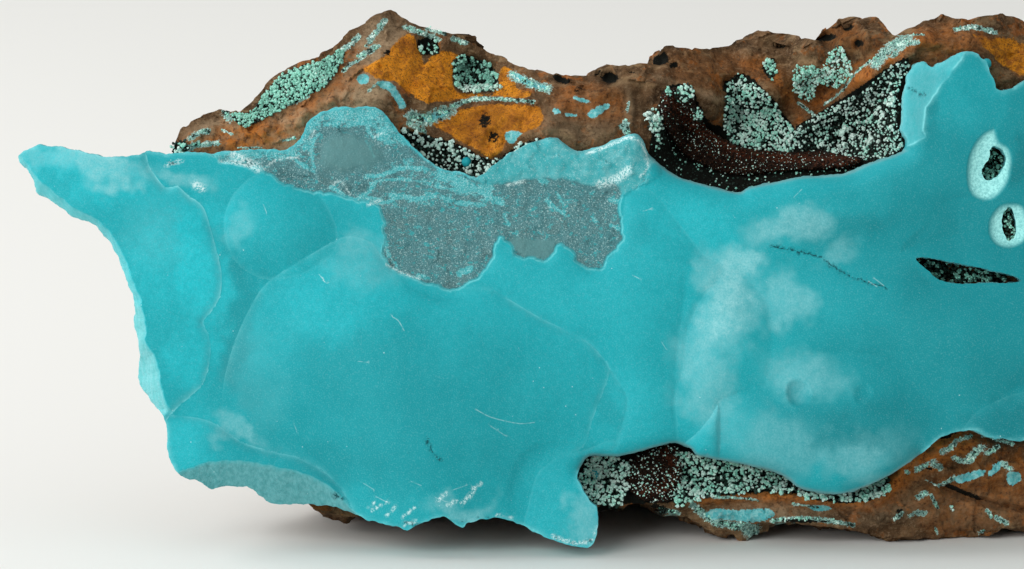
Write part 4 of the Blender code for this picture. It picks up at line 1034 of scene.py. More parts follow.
class Palette:
    """Builds one material from nodes, a step at a time."""

    def __init__(self, name: str) -> None:
        """Starts a material.

        Args:
            name: Name of the material.
        """
        self.material = bpy.data.materials.new(name)
        self.material.use_nodes = True
        self.tree = self.material.node_tree
        self.place = self.node("TexCoord", {}).outputs["Object"]

    def link(self, source: object, socket: Socket) -> None:
        """Joins a value to a socket.

        Args:
            source: A socket, a number or a colour.
            socket: Where it goes.
        """
        if isinstance(source, Socket):
            self.tree.links.new(source, socket)
        elif isinstance(source, tuple):
            socket.default_value = (*source, 1.0)[:len(socket.default_value)]
        else:
            socket.default_value = source

    def node(self, kind: str, inputs: dict[str | int, object], **settings: str) -> bpy.types.Node:
        """Adds a node.

        Args:
            kind: Its type, without the word ShaderNode.
            inputs: What goes into its sockets, by their names or places.
            **settings: Its other settings.

        Returns:
            The node.
        """
        node = self.tree.nodes.new("ShaderNode" + kind)
        for key, setting in settings.items():
            setattr(node, key, setting)
        for key, source in inputs.items():
            self.link(source, node.inputs[key])
        return node

    def value(self, name: str) -> Socket:
        """Reads a named value of the mesh."""
        return self.node("Attribute", {}, attribute_name=name).outputs["Fac"]

    def noise(self, size: float, detail: float = 3.0, rough: float = 0.55,
              stretch: Colour = (1.0, 1.0, 1.0)) -> Socket:
        """Adds noise from 0 to 1 with bumps of a size in millimetres, and detail finer layers."""
        place = self.node("Mapping", {"Vector": self.place, "Scale": stretch}).outputs[0]
        return self.node("TexNoise", {"Vector": place, "Scale": 1.0 / (size * MM),
                                      "Detail": detail, "Roughness": rough}).outputs["Fac"]

    def cells(self, size: float, output: str) -> Socket:
        """Adds cells: Distance is the way to the nearest centre, Color a tone of each cell."""
        inputs = {"Vector": self.place, "Scale": 1.0 / (size * MM)}
        return self.node("TexVoronoi", inputs).outputs[output]

    def math(self, operation: Sum, a: object, b: object) -> Socket:
        """Works out one value from two."""
        return self.node("Math", {0: a, 1: b}, operation=operation.value).outputs[0]

    def times(self, a: object, b: object) -> Socket:
        """Multiplies two values."""
        return self.math(Sum.TIMES, a, b)

    def between(self, value: object, low: float, high: float,
                out_low: float = 0.0, out_high: float = 1.0) -> Socket:
        """Maps a value smoothly from the range low to high to the range out_low to out_high."""
        inputs = dict(enumerate((value, low, high, out_low, out_high)))
        return self.node("MapRange", inputs, interpolation_type="SMOOTHSTEP").outputs[0]

    def mix(self, share: object, a: object, b: object, blend: Blend = Blend.MIX) -> Socket:
        """Puts two colours together, with a share of the second."""
        inputs = {0: share, 6: a, 7: b}
        return self.node("Mix", inputs, data_type="RGBA", blend_type=blend.value).outputs[2]

    def over(self, base: object, colour: object, mask: object, low: float, high: float,
             most: float = 1.0, least: float = 0.0) -> Socket:
        """Lays a colour over another, from the share least where a mask is low to most."""
        return self.mix(self.between(mask, low, high, least, most), base, colour)

    def marked(self, base: object, colour: object, name: str, mask: Socket, low: float,
               high: float, most: float = 1.0, least: float = 0.0) -> Socket:
        """Lays a colour over a marked area, as over() does, where a mask lets it through."""
        share = self.times(self.value(name), self.between(mask, low, high, least, most))
        return self.mix(share, base, colour)

    def bump(self, height: object, depth: float, below: Socket | None = None) -> Socket:
        """Turns a height into small relief, where 1 stands for a depth in millimetres."""
        inputs = {"Strength": 1.0, "Distance": depth * MM, "Height": height}
        if below:
            inputs["Normal"] = below
        return self.node("Bump", inputs).outputs["Normal"]

    def finish(self, colour: object, roughness: object, normal: object,
               specular: float, sheen: float = 0.0) -> Material:
        """Connects the shader.

        Args:
            colour: Base colour.
            roughness: Roughness of the surface.
            normal: Surface direction.
            specular: Strength of the mirror-like reflection.
            sheen: Strength of the velvet edge light.

        Returns:
            The finished material.
        """
        inputs = self.tree.nodes["Principled BSDF"].inputs
        for key, source in (("Base Color", colour), ("Roughness", roughness), ("Normal", normal)):
            self.link(source, inputs[key])
        inputs["Specular IOR Level"].default_value = specular
        inputs["Sheen Weight"].default_value = sheen
        inputs["Sheen Roughness"].default_value = 0.4
        return self.material


@dataclass(frozen=True)
class RosasiteFinish:
    """Satin turquoise with pale lips, frosted patches, a grey fractured patch and painted light
    and shade.
    """

    deep: Colour = (0.007, 0.26, 0.30)
    body: Colour = (0.012, 0.395, 0.455)
    light: Colour = (0.045, 0.51, 0.57)
    lip: Colour = (0.24, 0.73, 0.77)
    frost: Colour = (0.33, 0.68, 0.71)
    grey: Colour = (0.082, 0.245, 0.268)
    pale_grey: Colour = (0.105, 0.255, 0.275)
    warm_grey: Colour = (0.115, 0.215, 0.22)
    dark_grey: Colour = (0.035, 0.12, 0.13)
    gloom: Colour = (0.045, 0.13, 0.14)
    nodule: Colour = (0.118, 0.285, 0.292)
    fleck: Colour = (0.045, 0.38, 0.41)
    teal: Colour = (0.045, 0.42, 0.46)
    pale_teal: Colour = (0.19, 0.62, 0.65)
    speck_and_sparkle: Colour = (0.50, 0.72, 0.71)
    dark_band: Colour = (0.055, 0.36, 0.39)
    pale_band: Colour = (0.12, 0.44, 0.47)
    glint: Colour = (0.62, 0.84, 0.84)
    hem: Colour = (0.20, 0.68, 0.71)
    broken: Colour = (0.21, 0.60, 0.64)
    broken_streak: Colour = (0.13, 0.54, 0.57)
    slate: Colour = (0.145, 0.46, 0.49)
    slate_streak: Colour = (0.085, 0.36, 0.385)
    white: Colour = (0.42, 0.90, 0.88)
    crack: Colour = (0.004, 0.06, 0.07)
    rim: Colour = (0.16, 0.33, 0.34)
    scratch: Colour = (0.55, 0.82, 0.82)

    def skin(self, p: Palette) -> Socket:
        """Mixes the satin colour of the whole lobes, with its painted light and shade.

        Args:
            p: The material that is being built.

        Returns:
            The colour.
        """
        base = p.over(self.deep, self.light, p.noise(5.0, 5.0, 0.62), 0.34, 0.68, 0.6, 0.25)
        base = p.mix(0.6, base, self.body)
        # Painted light and shade, with some real tone: the tint spots lighten or darken the colour
        strength = p.math(Sum.PLUS, p.times(p.value("tint_and_shade"), 0.5), 1.0)
        base = p.mix(1.0, base, strength, Blend.MULTIPLY)
        grain = p.noise(0.13, 2.0, 0.7)
        base = p.over(base, self.frost, grain, 0.50, 0.74, 0.17)
        base = p.over(base, self.deep, grain, 0.50, 0.26, 0.26)
        base = p.over(base, self.deep, p.noise(0.5, 4.0, 0.7), 0.36, 0.66, 0.22)
        # Painted shade in the creases; pale lips, partly frosted edge and partly painted highlight
        base = p.marked(base, self.deep, "crease", p.noise(1.5), 0.2, 0.6, 0.36, 0.144)
        return p.marked(base, self.lip, "lip", p.noise(2.0, 4.0), 0.35, 0.6, 0.85, 0.2125)

    def fractured(self, p: Palette, grain: Socket, spark: Socket) -> Socket:
        """Mixes the grey fractured patch with its turquoise veins, painted shade and partly
        painted sparkle.

        Args:
            p: The material that is being built.
            grain: The finest noise of the patch.
            spark: Where that noise sparkles.

        Returns:
            The colour.
        """
        even = p.value("even")
        uneven = p.math(Sum.PLUS, 1.0, p.times(even, -0.85))
        grey = p.over(self.grey, self.pale_grey, p.noise(1.8, 4.0, 0.65), 0.36, 0.64)
        grey = p.over(grey, self.warm_grey, p.noise(2.6, 4.0, 0.7), 0.50, 0.66, 0.6)
        dots = p.times(p.between(grain, 0.47, 0.36, 0.0, 0.65), uneven)
        grey = p.mix(dots, grey, self.dark_grey)
        fleck = p.between(p.noise(0.45, 4.0, 0.7, (0.6, 1.0, 1.0)), 0.565, 0.62, 0.0, 0.85)
        grey = p.mix(p.times(fleck, uneven), grey, self.fleck)
        ragged = p.between(p.noise(0.5, 5.0, 0.78, (0.55, 1.0, 1.0)), 0.2, 0.8, -0.8, 0.8)
        vein = p.over(self.teal, self.pale_teal, grain, 0.4, 0.6)
        grey = p.over(grey, vein, p.math(Sum.PLUS, p.value("teal"), ragged), 0.40, 0.75, 0.85)
        grey = p.mix(p.times(even, 0.75), grey, self.nodule)
        # Painted shade on the patch from the gloom spots
        gloom = p.math(Sum.PLUS, p.value("gloom"), ragged)
        grey = p.over(grey, self.gloom, gloom, 0.4, 0.8, 0.6)
        # Pale specks, partly painted sparkle
        return p.mix(p.times(spark, uneven), grey, self.speck_and_sparkle)

    def make(self) -> Material:
        """Builds the material.

        Returns:
            The finished material.
        """
        p = Palette("rosasite")
        patchy = p.between(p.noise(1.0, 6.0, 0.8), 0.28, 0.68, 0.50, 1.05)
        frost = p.times(p.value("frost"), patchy)
        speck = p.between(p.noise(0.20, 3.0, 0.8), 0.34, 0.64, 0.62, 1.05)
        base = p.mix(p.times(frost, speck), self.skin(p), self.frost)

        patch = p.value("patch")
        grain = p.noise(0.14, 2.0, 0.8)
        spark = p.between(grain, 0.58, 0.65, 0.0, 0.75)
        base = p.mix(patch, base, self.fractured(p, grain, spark))
        band = p.over(self.dark_band, self.pale_band, p.noise(1.2, 4.0, 0.7), 0.4, 0.62)
        # Pale specks on the band, partly painted sparkle
        band = p.mix(p.times(spark, 0.7), band, self.speck_and_sparkle)
        base = p.marked(base, band, "pale", p.noise(0.6, 5.0, 0.7), 0.3, 0.6, 1.0, 0.55)
        # White glints: partly white chips, partly painted highlight along lit edges
        base = p.marked(base, self.glint, "glint", p.noise(0.22, 3.0, 0.8), 0.42, 0.56)
        base = p.mix(p.times(p.value("hem"), 0.70), base, self.hem)

        streak = p.between(p.noise(0.4, 4.0, 0.65, (1.0, 1.0, 0.25)), 0.35, 0.65)
        chipped = p.mix(streak, self.broken, self.broken_streak)
        slate = p.mix(streak, self.slate, self.slate_streak)
        base = p.mix(p.value("broken"), base, p.mix(p.value("slate"), chipped, slate))
        base = p.marked(base, self.white, "white", p.noise(0.25, 4.0, 0.75), 0.3, 0.65, 1.0, 0.5)
        base = p.marked(base, self.crack, "crack", p.noise(0.30, 3.0, 0.8), 0.44, 0.54, 1.0, 0.05)
        # Grey-brown painted shade along the rolled rims at the pockets
        base = p.mix(p.value("rim"), base, self.rim)
        scratch = p.times(p.value("mark"), p.between(p.noise(0.4, 3.0), 0.3, 0.55, 0.2, 0.9))
        dust = p.between(p.cells(1.3, "Distance"), 0.03, 0.06, 0.7, 0.0)
        dust = p.times(dust, p.between(p.noise(3.0), 0.50, 0.62))
        base = p.mix(p.math(Sum.HIGHEST, scratch, dust), base, self.scratch)

        rough = p.math(Sum.HIGHEST, patch, p.value("broken"))
        fine = p.bump(p.noise(0.12, 2.0, 0.65), 0.016)
        fine = p.bump(p.times(rough, p.noise(0.35, 5.0, 0.75)), 0.22, fine)
        roughness = p.between(p.noise(1.2, 3.0), 0.2, 0.8, 0.50, 0.68)
        return p.finish(base, roughness, fine, 0.10, 0.04)


@dataclass(frozen=True)
class LimoniteFinish:
    """Earthy brown iron oxide with ochre fields, green veins and black hollows, partly painted
    shade.
    """

    brown: Colour = (0.158, 0.088, 0.042)
    umber: Colour = (0.082, 0.045, 0.021)
    tan: Colour = (0.27, 0.175, 0.090)
    pale: Colour = (0.44, 0.315, 0.190)
    light_grain: Colour = (0.36, 0.25, 0.150)
    dark_grain: Colour = (0.030, 0.017, 0.010)
    light_dust: Colour = (0.42, 0.31, 0.20)
    dark_dust: Colour = (0.020, 0.012, 0.008)
    ochre: Colour = (0.70, 0.262, 0.018)
    yellow: Colour = (0.78, 0.40, 0.07)
    ochre_pits: Colour = (0.12, 0.042, 0.012)
    dark_red: Colour = (0.16, 0.045, 0.012)
    bright_red: Colour = (0.50, 0.165, 0.030)
    rust: Colour = (0.33, 0.105, 0.020)
    dusk: Colour = (0.54, 0.56, 0.55)
    vein: Colour = (0.17, 0.40, 0.37)
    pale_vein: Colour = (0.46, 0.68, 0.60)
    dark_vein: Colour = (0.012, 0.030, 0.022)
    blue: Colour = (0.10, 0.50, 0.54)
    pale_blue: Colour = (0.30, 0.66, 0.66)
    dark_blue: Colour = (0.03, 0.20, 0.21)
    black: Colour = (0.007, 0.008, 0.006)

    def ragged(self, p: Palette, base: Socket, colour: object, name: str, size: float,
               spread: float, low: float, high: float) -> Socket:
        """Lays a colour over a marked area with a ragged edge.

        Args:
            p: The material that is being built.
            base: What it lies on.
            colour: The colour of the area.
            name: Name of the marked value.
            size: Size of the raggedness, in millimetres.
            spread: How strong the raggedness is.
            low: Where the area starts.
            high: Where it is full.

        Returns:
            The colour.
        """
        mark = p.value(name)
        shake = p.between(p.noise(size, 5.0, 0.7), 0.2, 0.8, -spread, spread)
        share = p.between(p.math(Sum.PLUS, mark, shake), low, high)
        return p.mix(p.times(share, p.between(mark, 0.02, 0.25)), base, colour)

    def make(self) -> Material:
        """Builds the material.

        Returns:
            The finished material.
        """
        p = Palette("limonite")
        fine = p.noise(0.20, 4.0, 0.8)
        grain = p.noise(0.45, 5.0, 0.75)
        base = p.over(self.umber, self.brown, p.noise(4.0, 6.0, 0.7), 0.38, 0.62)
        base = p.over(base, self.tan, p.noise(2.4, 6.0, 0.7, (0.35, 1.0, 1.3)), 0.52, 0.62, 0.7)
        base = p.over(base, self.rust, p.noise(2.6, 6.0, 0.72), 0.53, 0.62, 0.75)
        tone = p.between(p.cells(1.3, "Color"), 0.0, 1.0, 0.72, 1.28)
        base = p.mix(1.0, base, tone, Blend.MULTIPLY)
        base = p.marked(base, self.pale, "pale", p.noise(1.2, 6.0, 0.75), 0.36, 0.56, 1.0, 0.25)
        for mask, low, high, most, colour in (
                (grain, 0.53, 0.64, 0.42, self.light_grain),
                (grain, 0.45, 0.34, 0.65, self.dark_grain),
                (fine, 0.56, 0.66, 0.36, self.light_dust),
                (fine, 0.44, 0.34, 0.55, self.dark_dust)):
            base = p.over(base, colour, mask, low, high, most)

        ochre = p.over(self.ochre, self.rust, p.noise(1.5, 5.0, 0.7), 0.46, 0.66, 0.8)
        tone = p.between(p.cells(0.9, "Color"), 0.0, 1.0, 0.8, 1.2)
        ochre = p.mix(1.0, ochre, tone, Blend.MULTIPLY)
        ochre = p.over(ochre, self.yellow, grain, 0.54, 0.66, 0.4)
        ochre = p.over(ochre, self.ochre_pits, fine, 0.49, 0.38, 0.9)
        ochre = p.over(ochre, self.umber, p.noise(0.6, 4.0, 0.8), 0.60, 0.68, 0.7)
        base = self.ragged(p, base, ochre, "ochre", 0.9, 0.30, 0.36, 0.60)
        red = p.over(self.dark_red, self.bright_red, grain, 0.36, 0.52)
        base = p.marked(base, red, "warm", p.noise(1.4, 5.0, 0.72), 0.36, 0.60, 1.0, 0.40)
        # Darker areas, partly painted shade
        base = p.mix(p.value("dusk"), base, self.dusk, Blend.MULTIPLY)

        green = p.over(self.vein, self.pale_vein, fine, 0.46, 0.58)
        green = p.over(green, self.dark_vein, fine, 0.49, 0.40, 0.9)
        base = self.ragged(p, base, green, "vein", 0.40, 0.6, 0.50, 0.72)
        blue = p.over(self.blue, self.pale_blue, grain, 0.42, 0.62)
        blue = p.over(blue, self.dark_blue, fine, 0.44, 0.35, 0.7)
        base = self.ragged(p, base, blue, "blue", 0.45, 0.5, 0.42, 0.60)
        # Black in the hollows, pits and under the crystals: partly black ground, partly painted
        # shade
        base = self.ragged(p, base, self.black, "dark", 0.5, 0.45, 0.42, 0.56)

        normal = p.bump(fine, 0.11, p.bump(grain, 0.24))
        return p.finish(base, p.between(fine, 0.3, 0.7, 0.60, 0.90), normal, 0.08)


@dataclass(frozen=True)
class GoethiteFinish:
    """Dark red-brown needle velvet; redder crests and black lows are partly painted light and
    shade.
    """

    dark: Colour = (0.009, 0.005, 0.0035)
    red: Colour = (0.075, 0.018, 0.007)
    spark: Colour = (0.26, 0.105, 0.045)

    def make(self) -> Material:
        """Builds the material.

        Returns:
            The finished material.
        """
        p = Palette("goethite")
        shake = p.between(p.noise(0.5, 5.0, 0.85), 0.3, 0.7, -0.9, 0.7)
        # Redder on the crests, black lower down: partly the velvet's colour, partly painted light
        # and shade
        high = p.math(Sum.PLUS, p.value("rise"), shake)
        base = p.over(self.dark, self.red, high, 0.25, 1.1)
        # Orange-brown specks of painted highlight
        base = p.over(base, self.spark, p.noise(0.14, 3.0, 0.8), 0.58, 0.66, 0.7)
        return p.finish(base, 0.6, p.bump(p.noise(0.18, 4.0, 0.8), 0.14), 0.10)


@dataclass(frozen=True)
class CrystalFinish:
    """Granular crystals, from black-green through mint to white."""

    dark: Colour = (0.007, 0.022, 0.015)
    mint: Colour = (0.30, 0.78, 0.62)
    white: Colour = (0.80, 1.0, 0.92)
    dark_fleck: Colour = (0.03, 0.075, 0.055)
    shade: Colour = (0.006, 0.012, 0.009)

    def make(self) -> Material:
        """Builds the material.

        Returns:
            The finished material.
        """
        p = Palette("green_crystal")
        grain = p.value("grain")
        base = p.over(self.dark, self.mint, grain, 0.05, 0.45)
        base = p.over(base, self.white, grain, 0.45, 1.0)
        fleck = p.noise(0.16, 3.0, 0.8)
        pale = p.times(p.between(fleck, 0.52, 0.66, 0.0, 0.7), p.between(grain, 0.1, 0.5))
        base = p.mix(pale, base, self.white)
        # Darker flecks on the crystals
        base = p.over(base, self.dark_fleck, fleck, 0.45, 0.33, 0.7)
        base = p.mix(p.value("shade"), base, self.shade)
        return p.finish(base, 0.42, p.bump(p.noise(0.10, 3.0, 0.75), 0.05), 0.25)


# How plainly the edge of each lobe shows as a pale lip with painted shade in the crease beside it
# The pale lip is partly the frosted edge's own colour and partly painted highlight
LIP_STRENGTH = {
    "wing": 1, "small_dome": 0.18, "great_dome": 0.35, "crescent": 0.14, "middle_dome": 0.10,
    "bead": 0.35, "lower_left_lobe": 0.45, "right_lobe": 0.15, "lower_tip": 0.15,
}
CRUST_SHADOWS = [
    (34.2, 35.2, 2.8, 1.7, -15, 0.5), (19.6, 16.6, 2.6, 1.5, -35, 0.5),
    (33.6, 7.4, 1.6, 0.8, -40, 0.6), (79.8, 17.6, 1.5, 1.5, 0, 0.45), (71.6, 15, 0.9, 2.2, 0, 0.3),
    (19.4, 36.9, 1, 1.4, -40, 0.3), (64, 33.4, 1.4, 1.6, 0, 0.3), (76.6, 24.6, 0.9, 3.4, 10, 0.25),
    (66, 39.8, 1.6, 1.4, -40, 0.2), (96.5, 29.8, 5, 1.6, -6, 0.3),
]


FROST_SPOTS = [
    (73, 26.2, 4.2, 5.6, 0, 0.78), (70.2, 19, 3.8, 6.2, 15, 0.42), (78.8, 34.6, 4.4, 2.4, 15, 0.5),
    (74.6, 31, 3, 1.8, -10, 0.55), (78.8, 27.4, 2.4, 3, 0, 0.4), (80.4, 19.4, 5.4, 3, -10, 0.36),
    (78.4, 12.2, 7.4, 3.6, -12, 0.26), (69.2, 28.8, 2, 2.6, 0, 0.35), (84, 31.6, 2.4, 2, -30, 0.3),
    (23.6, 34.4, 1.6, 2.8, -10, 0.24), (58.5, 4.8, 1.6, 3.2, 20, 0.4),
    (46, 6.4, 3.4, 1.4, 10, 0.45), (18.4, 39.4, 3.4, 1.4, -10, 0.42), (86, 10, 4.5, 1.8, 10, 0.3),
    (10.6, 40.5, 5.2, 1.7, -14, 0.6), (5, 41, 4.2, 1.4, -14, 0.3),
    (23.6, 13.4, 4.8, 1.3, -22, 0.36), (35.8, 33.2, 2, 1.6, 0, 0.22),
    (36.4, 30.4, 4.4, 3, 20, 0.2), (25.6, 19, 3.4, 7, 5, 0.08), (15.4, 33.6, 4, 5, 20, 0.1),
    (88, 12.4, 5, 2.4, 20, 0.18),
]
# Lighter and darker ovals of the crust's colour: partly real tone, partly painted light and shade,
# darker towards the right end and lighter on the left
TINT_AND_SHADE_SPOTS = [
    (104, 26, 30, 40, 0, -0.64), (87, 26.5, 5, 3.6, 0, 0.12), (84, 34.4, 7, 2.6, 8, -0.32),
    (97.6, 47.4, 4.6, 5, 0, 0.28), (101, 14.6, 5, 3.4, 0, -0.3), (79.6, 12.8, 8, 5.6, 0, -0.44),
    (88, 14, 6, 4, 10, -0.26), (38, 15, 20, 12, 0, -0.42), (33.6, 10.6, 6, 3.4, -10, -0.14),
    (70, 34, 6, 3.4, -30, 0.22), (71, 25, 7, 12, 0, 0.1), (17.4, 31, 5.4, 8, 10, 0.44),
    (20.2, 29.6, 2.6, 8.6, 4, 0.46), (19, 20, 3, 5, -14, 0.5), (11, 39.4, 7, 2.6, -15, 0.34),
    (4.6, 41, 4.4, 2.2, -20, 0.3), (25, 30.6, 3, 3, 0, -0.26), (34.6, 27.4, 8, 4.6, -10, 0.28),
    (30.6, 32.6, 3.4, 2.6, 10, -0.16), (34.2, 35.2, 2.6, 2, -10, -0.08),
    (92.4, 46.6, 2.4, 5, 10, -0.34), (24, 24, 2.4, 9, 4, -0.42), (61.2, 16.6, 1.2, 3.6, 10, -0.24),
    (64, 33.6, 1.6, 2.4, 0, -0.16), (102.5, 41, 1.5, 3.4, 0, -0.3), (18, 12, 3.4, 4, 0, 0.3),
]


@dataclass
class RosasiteCrust:
    """The turquoise crust: its fine mesh and its finish."""

    face: FaceFrame
    form: CrustForm
    spacing: float = 0.29
    patch_spacing: float = 0.2
    back_spacing: float = 1.3
    crease_steps: tuple[float, ...] = (-0.32, -0.18, -0.07, 0.0, 0.07, 0.18, 0.32)
    rim_steps: tuple[float, ...] = (-0.75, -0.5, -0.3, -0.16, -0.07, 0.07, 0.16, 0.3, 0.5, 0.75)
    seed: int = 5

    def rings(self) -> list[Array]:
        """Draws the outer edge, ragged where it is broken, and the openings.

        Returns:
            Closed lines: the outer edge first.
        """
        outer = rounded_line(CRUST_OUTLINE, True, 0.22)
        to_rims = [distance_to_line(outer, line, False) for line, _ in self.form.rims]
        ragged = ramp(np.min(to_rims, axis=0), 0.3, 1.5)
        rings = [outer + 0.16 * ragged[:, None] * shift(outer, waves, 0.9, 61, 4)]
        for corners, wobble in ((SLIT, 0.05), (UPPER_RING, 0.10), (LOWER_RING, 0.10)):
            ring = rounded_line(corners, True, 0.12)
            rings.append(ring + wobble * shift(ring, waves, 0.4, 63, 2))
        return rings

    def guide_points(self, rings: list[Array]) -> Array:
        """Gathers points along the creases and the rolled rims.

        Args:
            rings: The edges of the crust.

        Returns:
            Points that the face's mesh has to include.
        """
        guides = [spread_line(rounded_line(lobe.corners, True, 0.2), True, self.crease_steps)
                  for lobe in self.form.lobes.values()]
        guides += [spread_line(region.line, True, (-0.15, 0.0, 0.15))
                   for region in self.form.breaks.values()]
        guides += [spread_line(line, False, self.rim_steps) for line, _ in self.form.rims]
        guides += [spread_line(rounded_line(corners, False, 0.1), False, (-0.07, 0.0, 0.07))
                   for corners, _ in CRACKS + SCRATCHES]
        points = np.vstack(guides)
        points = points[within(points, rings)]
        away = np.min([distance_to_line(points, ring, True) for ring in rings], axis=0)
        return thinned(points[away > 0.06], 0.07)

    def edges(self, flat: Array, depths: Marks) -> tuple[Array, Array]:
        """Marks the pale lips of the lobes, partly painted highlight, and painted shade in their
        creases.

        Args:
            flat: Points of the face.
            depths: How deep each point lies in each lobe.

        Returns:
            The strength of the lips, and of the painted shade in the creases.
        """
        lips = [0.9 * np.exp(-np.abs(depths["peak_break"]) / 0.12),
                0.7 * np.exp(-np.abs(self.form.outline.depth(flat)) / 0.15)]
        creases = [strongest(flat, CRUST_SHADOWS)]
        for name, strength in LIP_STRENGTH.items():
            depth = depths[name]
            strength = strength * (1.0 - strongest(flat, self.form.lobes[name].fades))
            lips.append(strength * np.where(depth > 0, np.exp(-depth / 0.22), 0.0))
            creases.append(strength * np.where(depth < 0, np.exp(depth / 0.8), 0.0))
        return np.max(lips, axis=0), np.max(creases, axis=0)

    def patch(self, flat: Array, depths: Marks) -> Marks:
        """Marks the grey fractured patch and what lies on it.

        Args:
            flat: Points of the face.
            depths: How deep each point lies in each lobe.

        Returns:
            Named values for each point.
        """
        area = depths["fractured_patch"]
        pale = depths["pale_band"]
        patch = ramp(np.minimum(area, self.form.outline.depth(flat)), 0.05, 0.3)
        hem = np.exp(-(area / 0.07) ** 2)
        hem *= 0.55 + 0.45 * np.clip(1.5 * waves(flat, 1.3, 67, 3) + 0.5, 0.0, 1.0)
        strip = Region(PATCH_STRIP, 0.05).depth(flat, 1.0)
        return {
            "patch": patch * (1.0 - 0.9 * ramp(pale, 0.0, 0.5)),
            "pale": ramp(pale, 0.0, 0.4) * ramp(area, -0.3, 0.1),
            "teal": np.maximum(drawn_lines(flat, PATCH_VEINS, 2.0), strongest(flat, PATCH_TEAL)),
            "even": np.maximum(ramp(depths["patch_nodule"], -0.6, 0.9),
                               ramp(strip, 0.0, 0.15)),
            "gloom": strongest(flat, PATCH_GLOOM),
            "glint": drawn_lines(flat, PATCH_GLINTS, 2.0),
            "hem": hem * ramp(-pale, -0.2, 0.1),
        }

    def values(self, flat: Array, depths: Marks, share: Array) -> Marks:
        """Marks where each colour of the crust lies.

        Args:
            flat: Points of the face.
            depths: How deep each point lies in each lobe.
            share: 1 on the front, 0 on the back, between them on the walls.

        Returns:
            Named values for each point.
        """
        lip, crease = self.edges(flat, depths)
        wandered = flat + 0.10 * waves(flat, 0.5, 69, 2)[:, None]
        cracks = [along_line(wandered, corners, 0.4, 0.02, 0.13) for corners, _ in CRACKS]
        cracks.append(strongest(flat, CRUST_SPECKS) * (waves(flat, 0.6, 68, 3) > 0.05))
        rims = np.min([distance_to_line(flat, line, False, 2.0) for line, _ in self.form.rims[:2]],
                      axis=0)
        on_front = (share > 0.999).astype(float)
        slate = ramp(depths["bottom_break"], 0.0, 0.25)
        faces = [(1.0 - on_front) * ramp(rims, 0.5, 1.6), slate,
                 ramp(depths["left_break"], 0.0, 0.25),
                 0.28 * ramp(depths["peak_break"], 0.0, 0.4),
                 0.5 * ramp(depths["wing_break"], 0.0, 0.2)]
        dishes = [ramp(depths[name], 0.0, 0.6) for name in ("upper_dish", "lower_dish")]
        drifted = flat + 1.9 * shift(flat, waves, 4.5, 121, 3)
        drifted += 0.7 * shift(flat, waves, 1.0, 123, 3)
        frost = [1.0 - spot[5] * soft_spot(drifted, spot) for spot in FROST_SPOTS]
        # The tint spots are partly real tone and partly painted light and shade
        tint_and_shade = [spot[5] * soft_spot(drifted, spot) for spot in TINT_AND_SHADE_SPOTS]
        marks = self.patch(flat, depths) | {
            "lip": lip,
            "crease": crease,
            "frost": 1.0 - np.prod(frost, axis=0),
            "slate": slate,
            "white": np.max(dishes, axis=0),
            "mark": np.max([strength * along_line(flat, corners, 0.3, 0.0, 0.06)
                            for corners, strength in SCRATCHES], axis=0),
            "crack": np.max(cracks, axis=0),
        }
        marks = {name: value * on_front for name, value in marks.items()}
        return marks | {
            "broken": np.max(faces, axis=0),
            "tint_and_shade": np.clip(np.sum(tint_and_shade, axis=0), -1.1, 1.1),
            # Painted shade along the rolled rims
            "rim": 0.65 * (1.0 - ramp(rims, 0.02, 0.30)),
        }

    def build(self, material: Material) -> None:
        """Builds the crust.

        Args:
            material: Its finish.
        """
        rng = np.random.default_rng(self.seed)
        rings = self.rings()
        guides = self.guide_points(rings)
        close = np.vstack([guides] + rings)
        patch = self.form.lobes["fractured_patch"].region.line
        fine = even_points(patch, self.patch_spacing, rng, close, 0.12)
        inner = even_points(rings[0], self.spacing, rng, close, 0.6 * self.spacing)
        inner = np.vstack([inner[~inside(inner, patch)], fine])
        inner = inner[within(inner, rings)]
        behind = even_points(rings[0], self.back_spacing, rng, np.vstack(rings), 0.8)
        behind = behind[within(behind, rings)]
        sheet = SolidSheet(rings, np.vstack([guides, inner]), behind, 9)
        depths = self.form.depths(sheet.flat)
        on_front = {name: depth[:len(sheet.front)] for name, depth in depths.items()}
        back = self.form.back(sheet.back) + 0.15 * waves(sheet.back, 3.0, 71)
        points = sheet.raise_between(self.form.front(sheet.front, on_front), back)
        walls = (sheet.share > 0.001) & (sheet.share < 0.999)
        points[walls] += 0.16 * shift(points[walls], waves, 1.1, 72, 4)
        make_piece("rosasite_crust_skin", self.face.to_world(points), sheet.faces,
                   self.values(sheet.flat, depths, sheet.share), material,
                   ("rosasite_crust",), 55.0)


# Ochre fields of the rock: how strong, and the outline
OCHRE_FIELDS: Fields = [
    (1, [(36.2, 50.3), (38, 51.4), (40.2, 53.7), (41.2, 53.6), (41.8, 52.4), (42.2, 50.9),
     (42.8, 51.4), (44, 52.1), (45, 52.1), (45.8, 51.3), (45.2, 49.1), (45.6, 48.1), (47, 47.8),
     (49.4, 48), (50.2, 50.4), (51.4, 50), (51.6, 48.4), (53.2, 47.8), (52, 47.2), (49, 47.5),
     (44, 46.9), (42.5, 46.8), (40.5, 47.9), (39.5, 48.9), (38, 49.1), (37, 49.5)]),
    (1, [(44, 44.9), (45.5, 45.9), (47, 46.4), (50, 46.6), (53.5, 46.5), (54.2, 45.9), (54, 44.4),
     (51.2, 43.2), (49.7, 41.4), (48.8, 41.2), (47.8, 41.9), (43.5, 44.3)]),
    (0.7, [(97.5, 53.9), (99, 53.4), (102.4, 53.4), (105, 51), (103.4, 49.4), (100.6, 50.4)]),
]
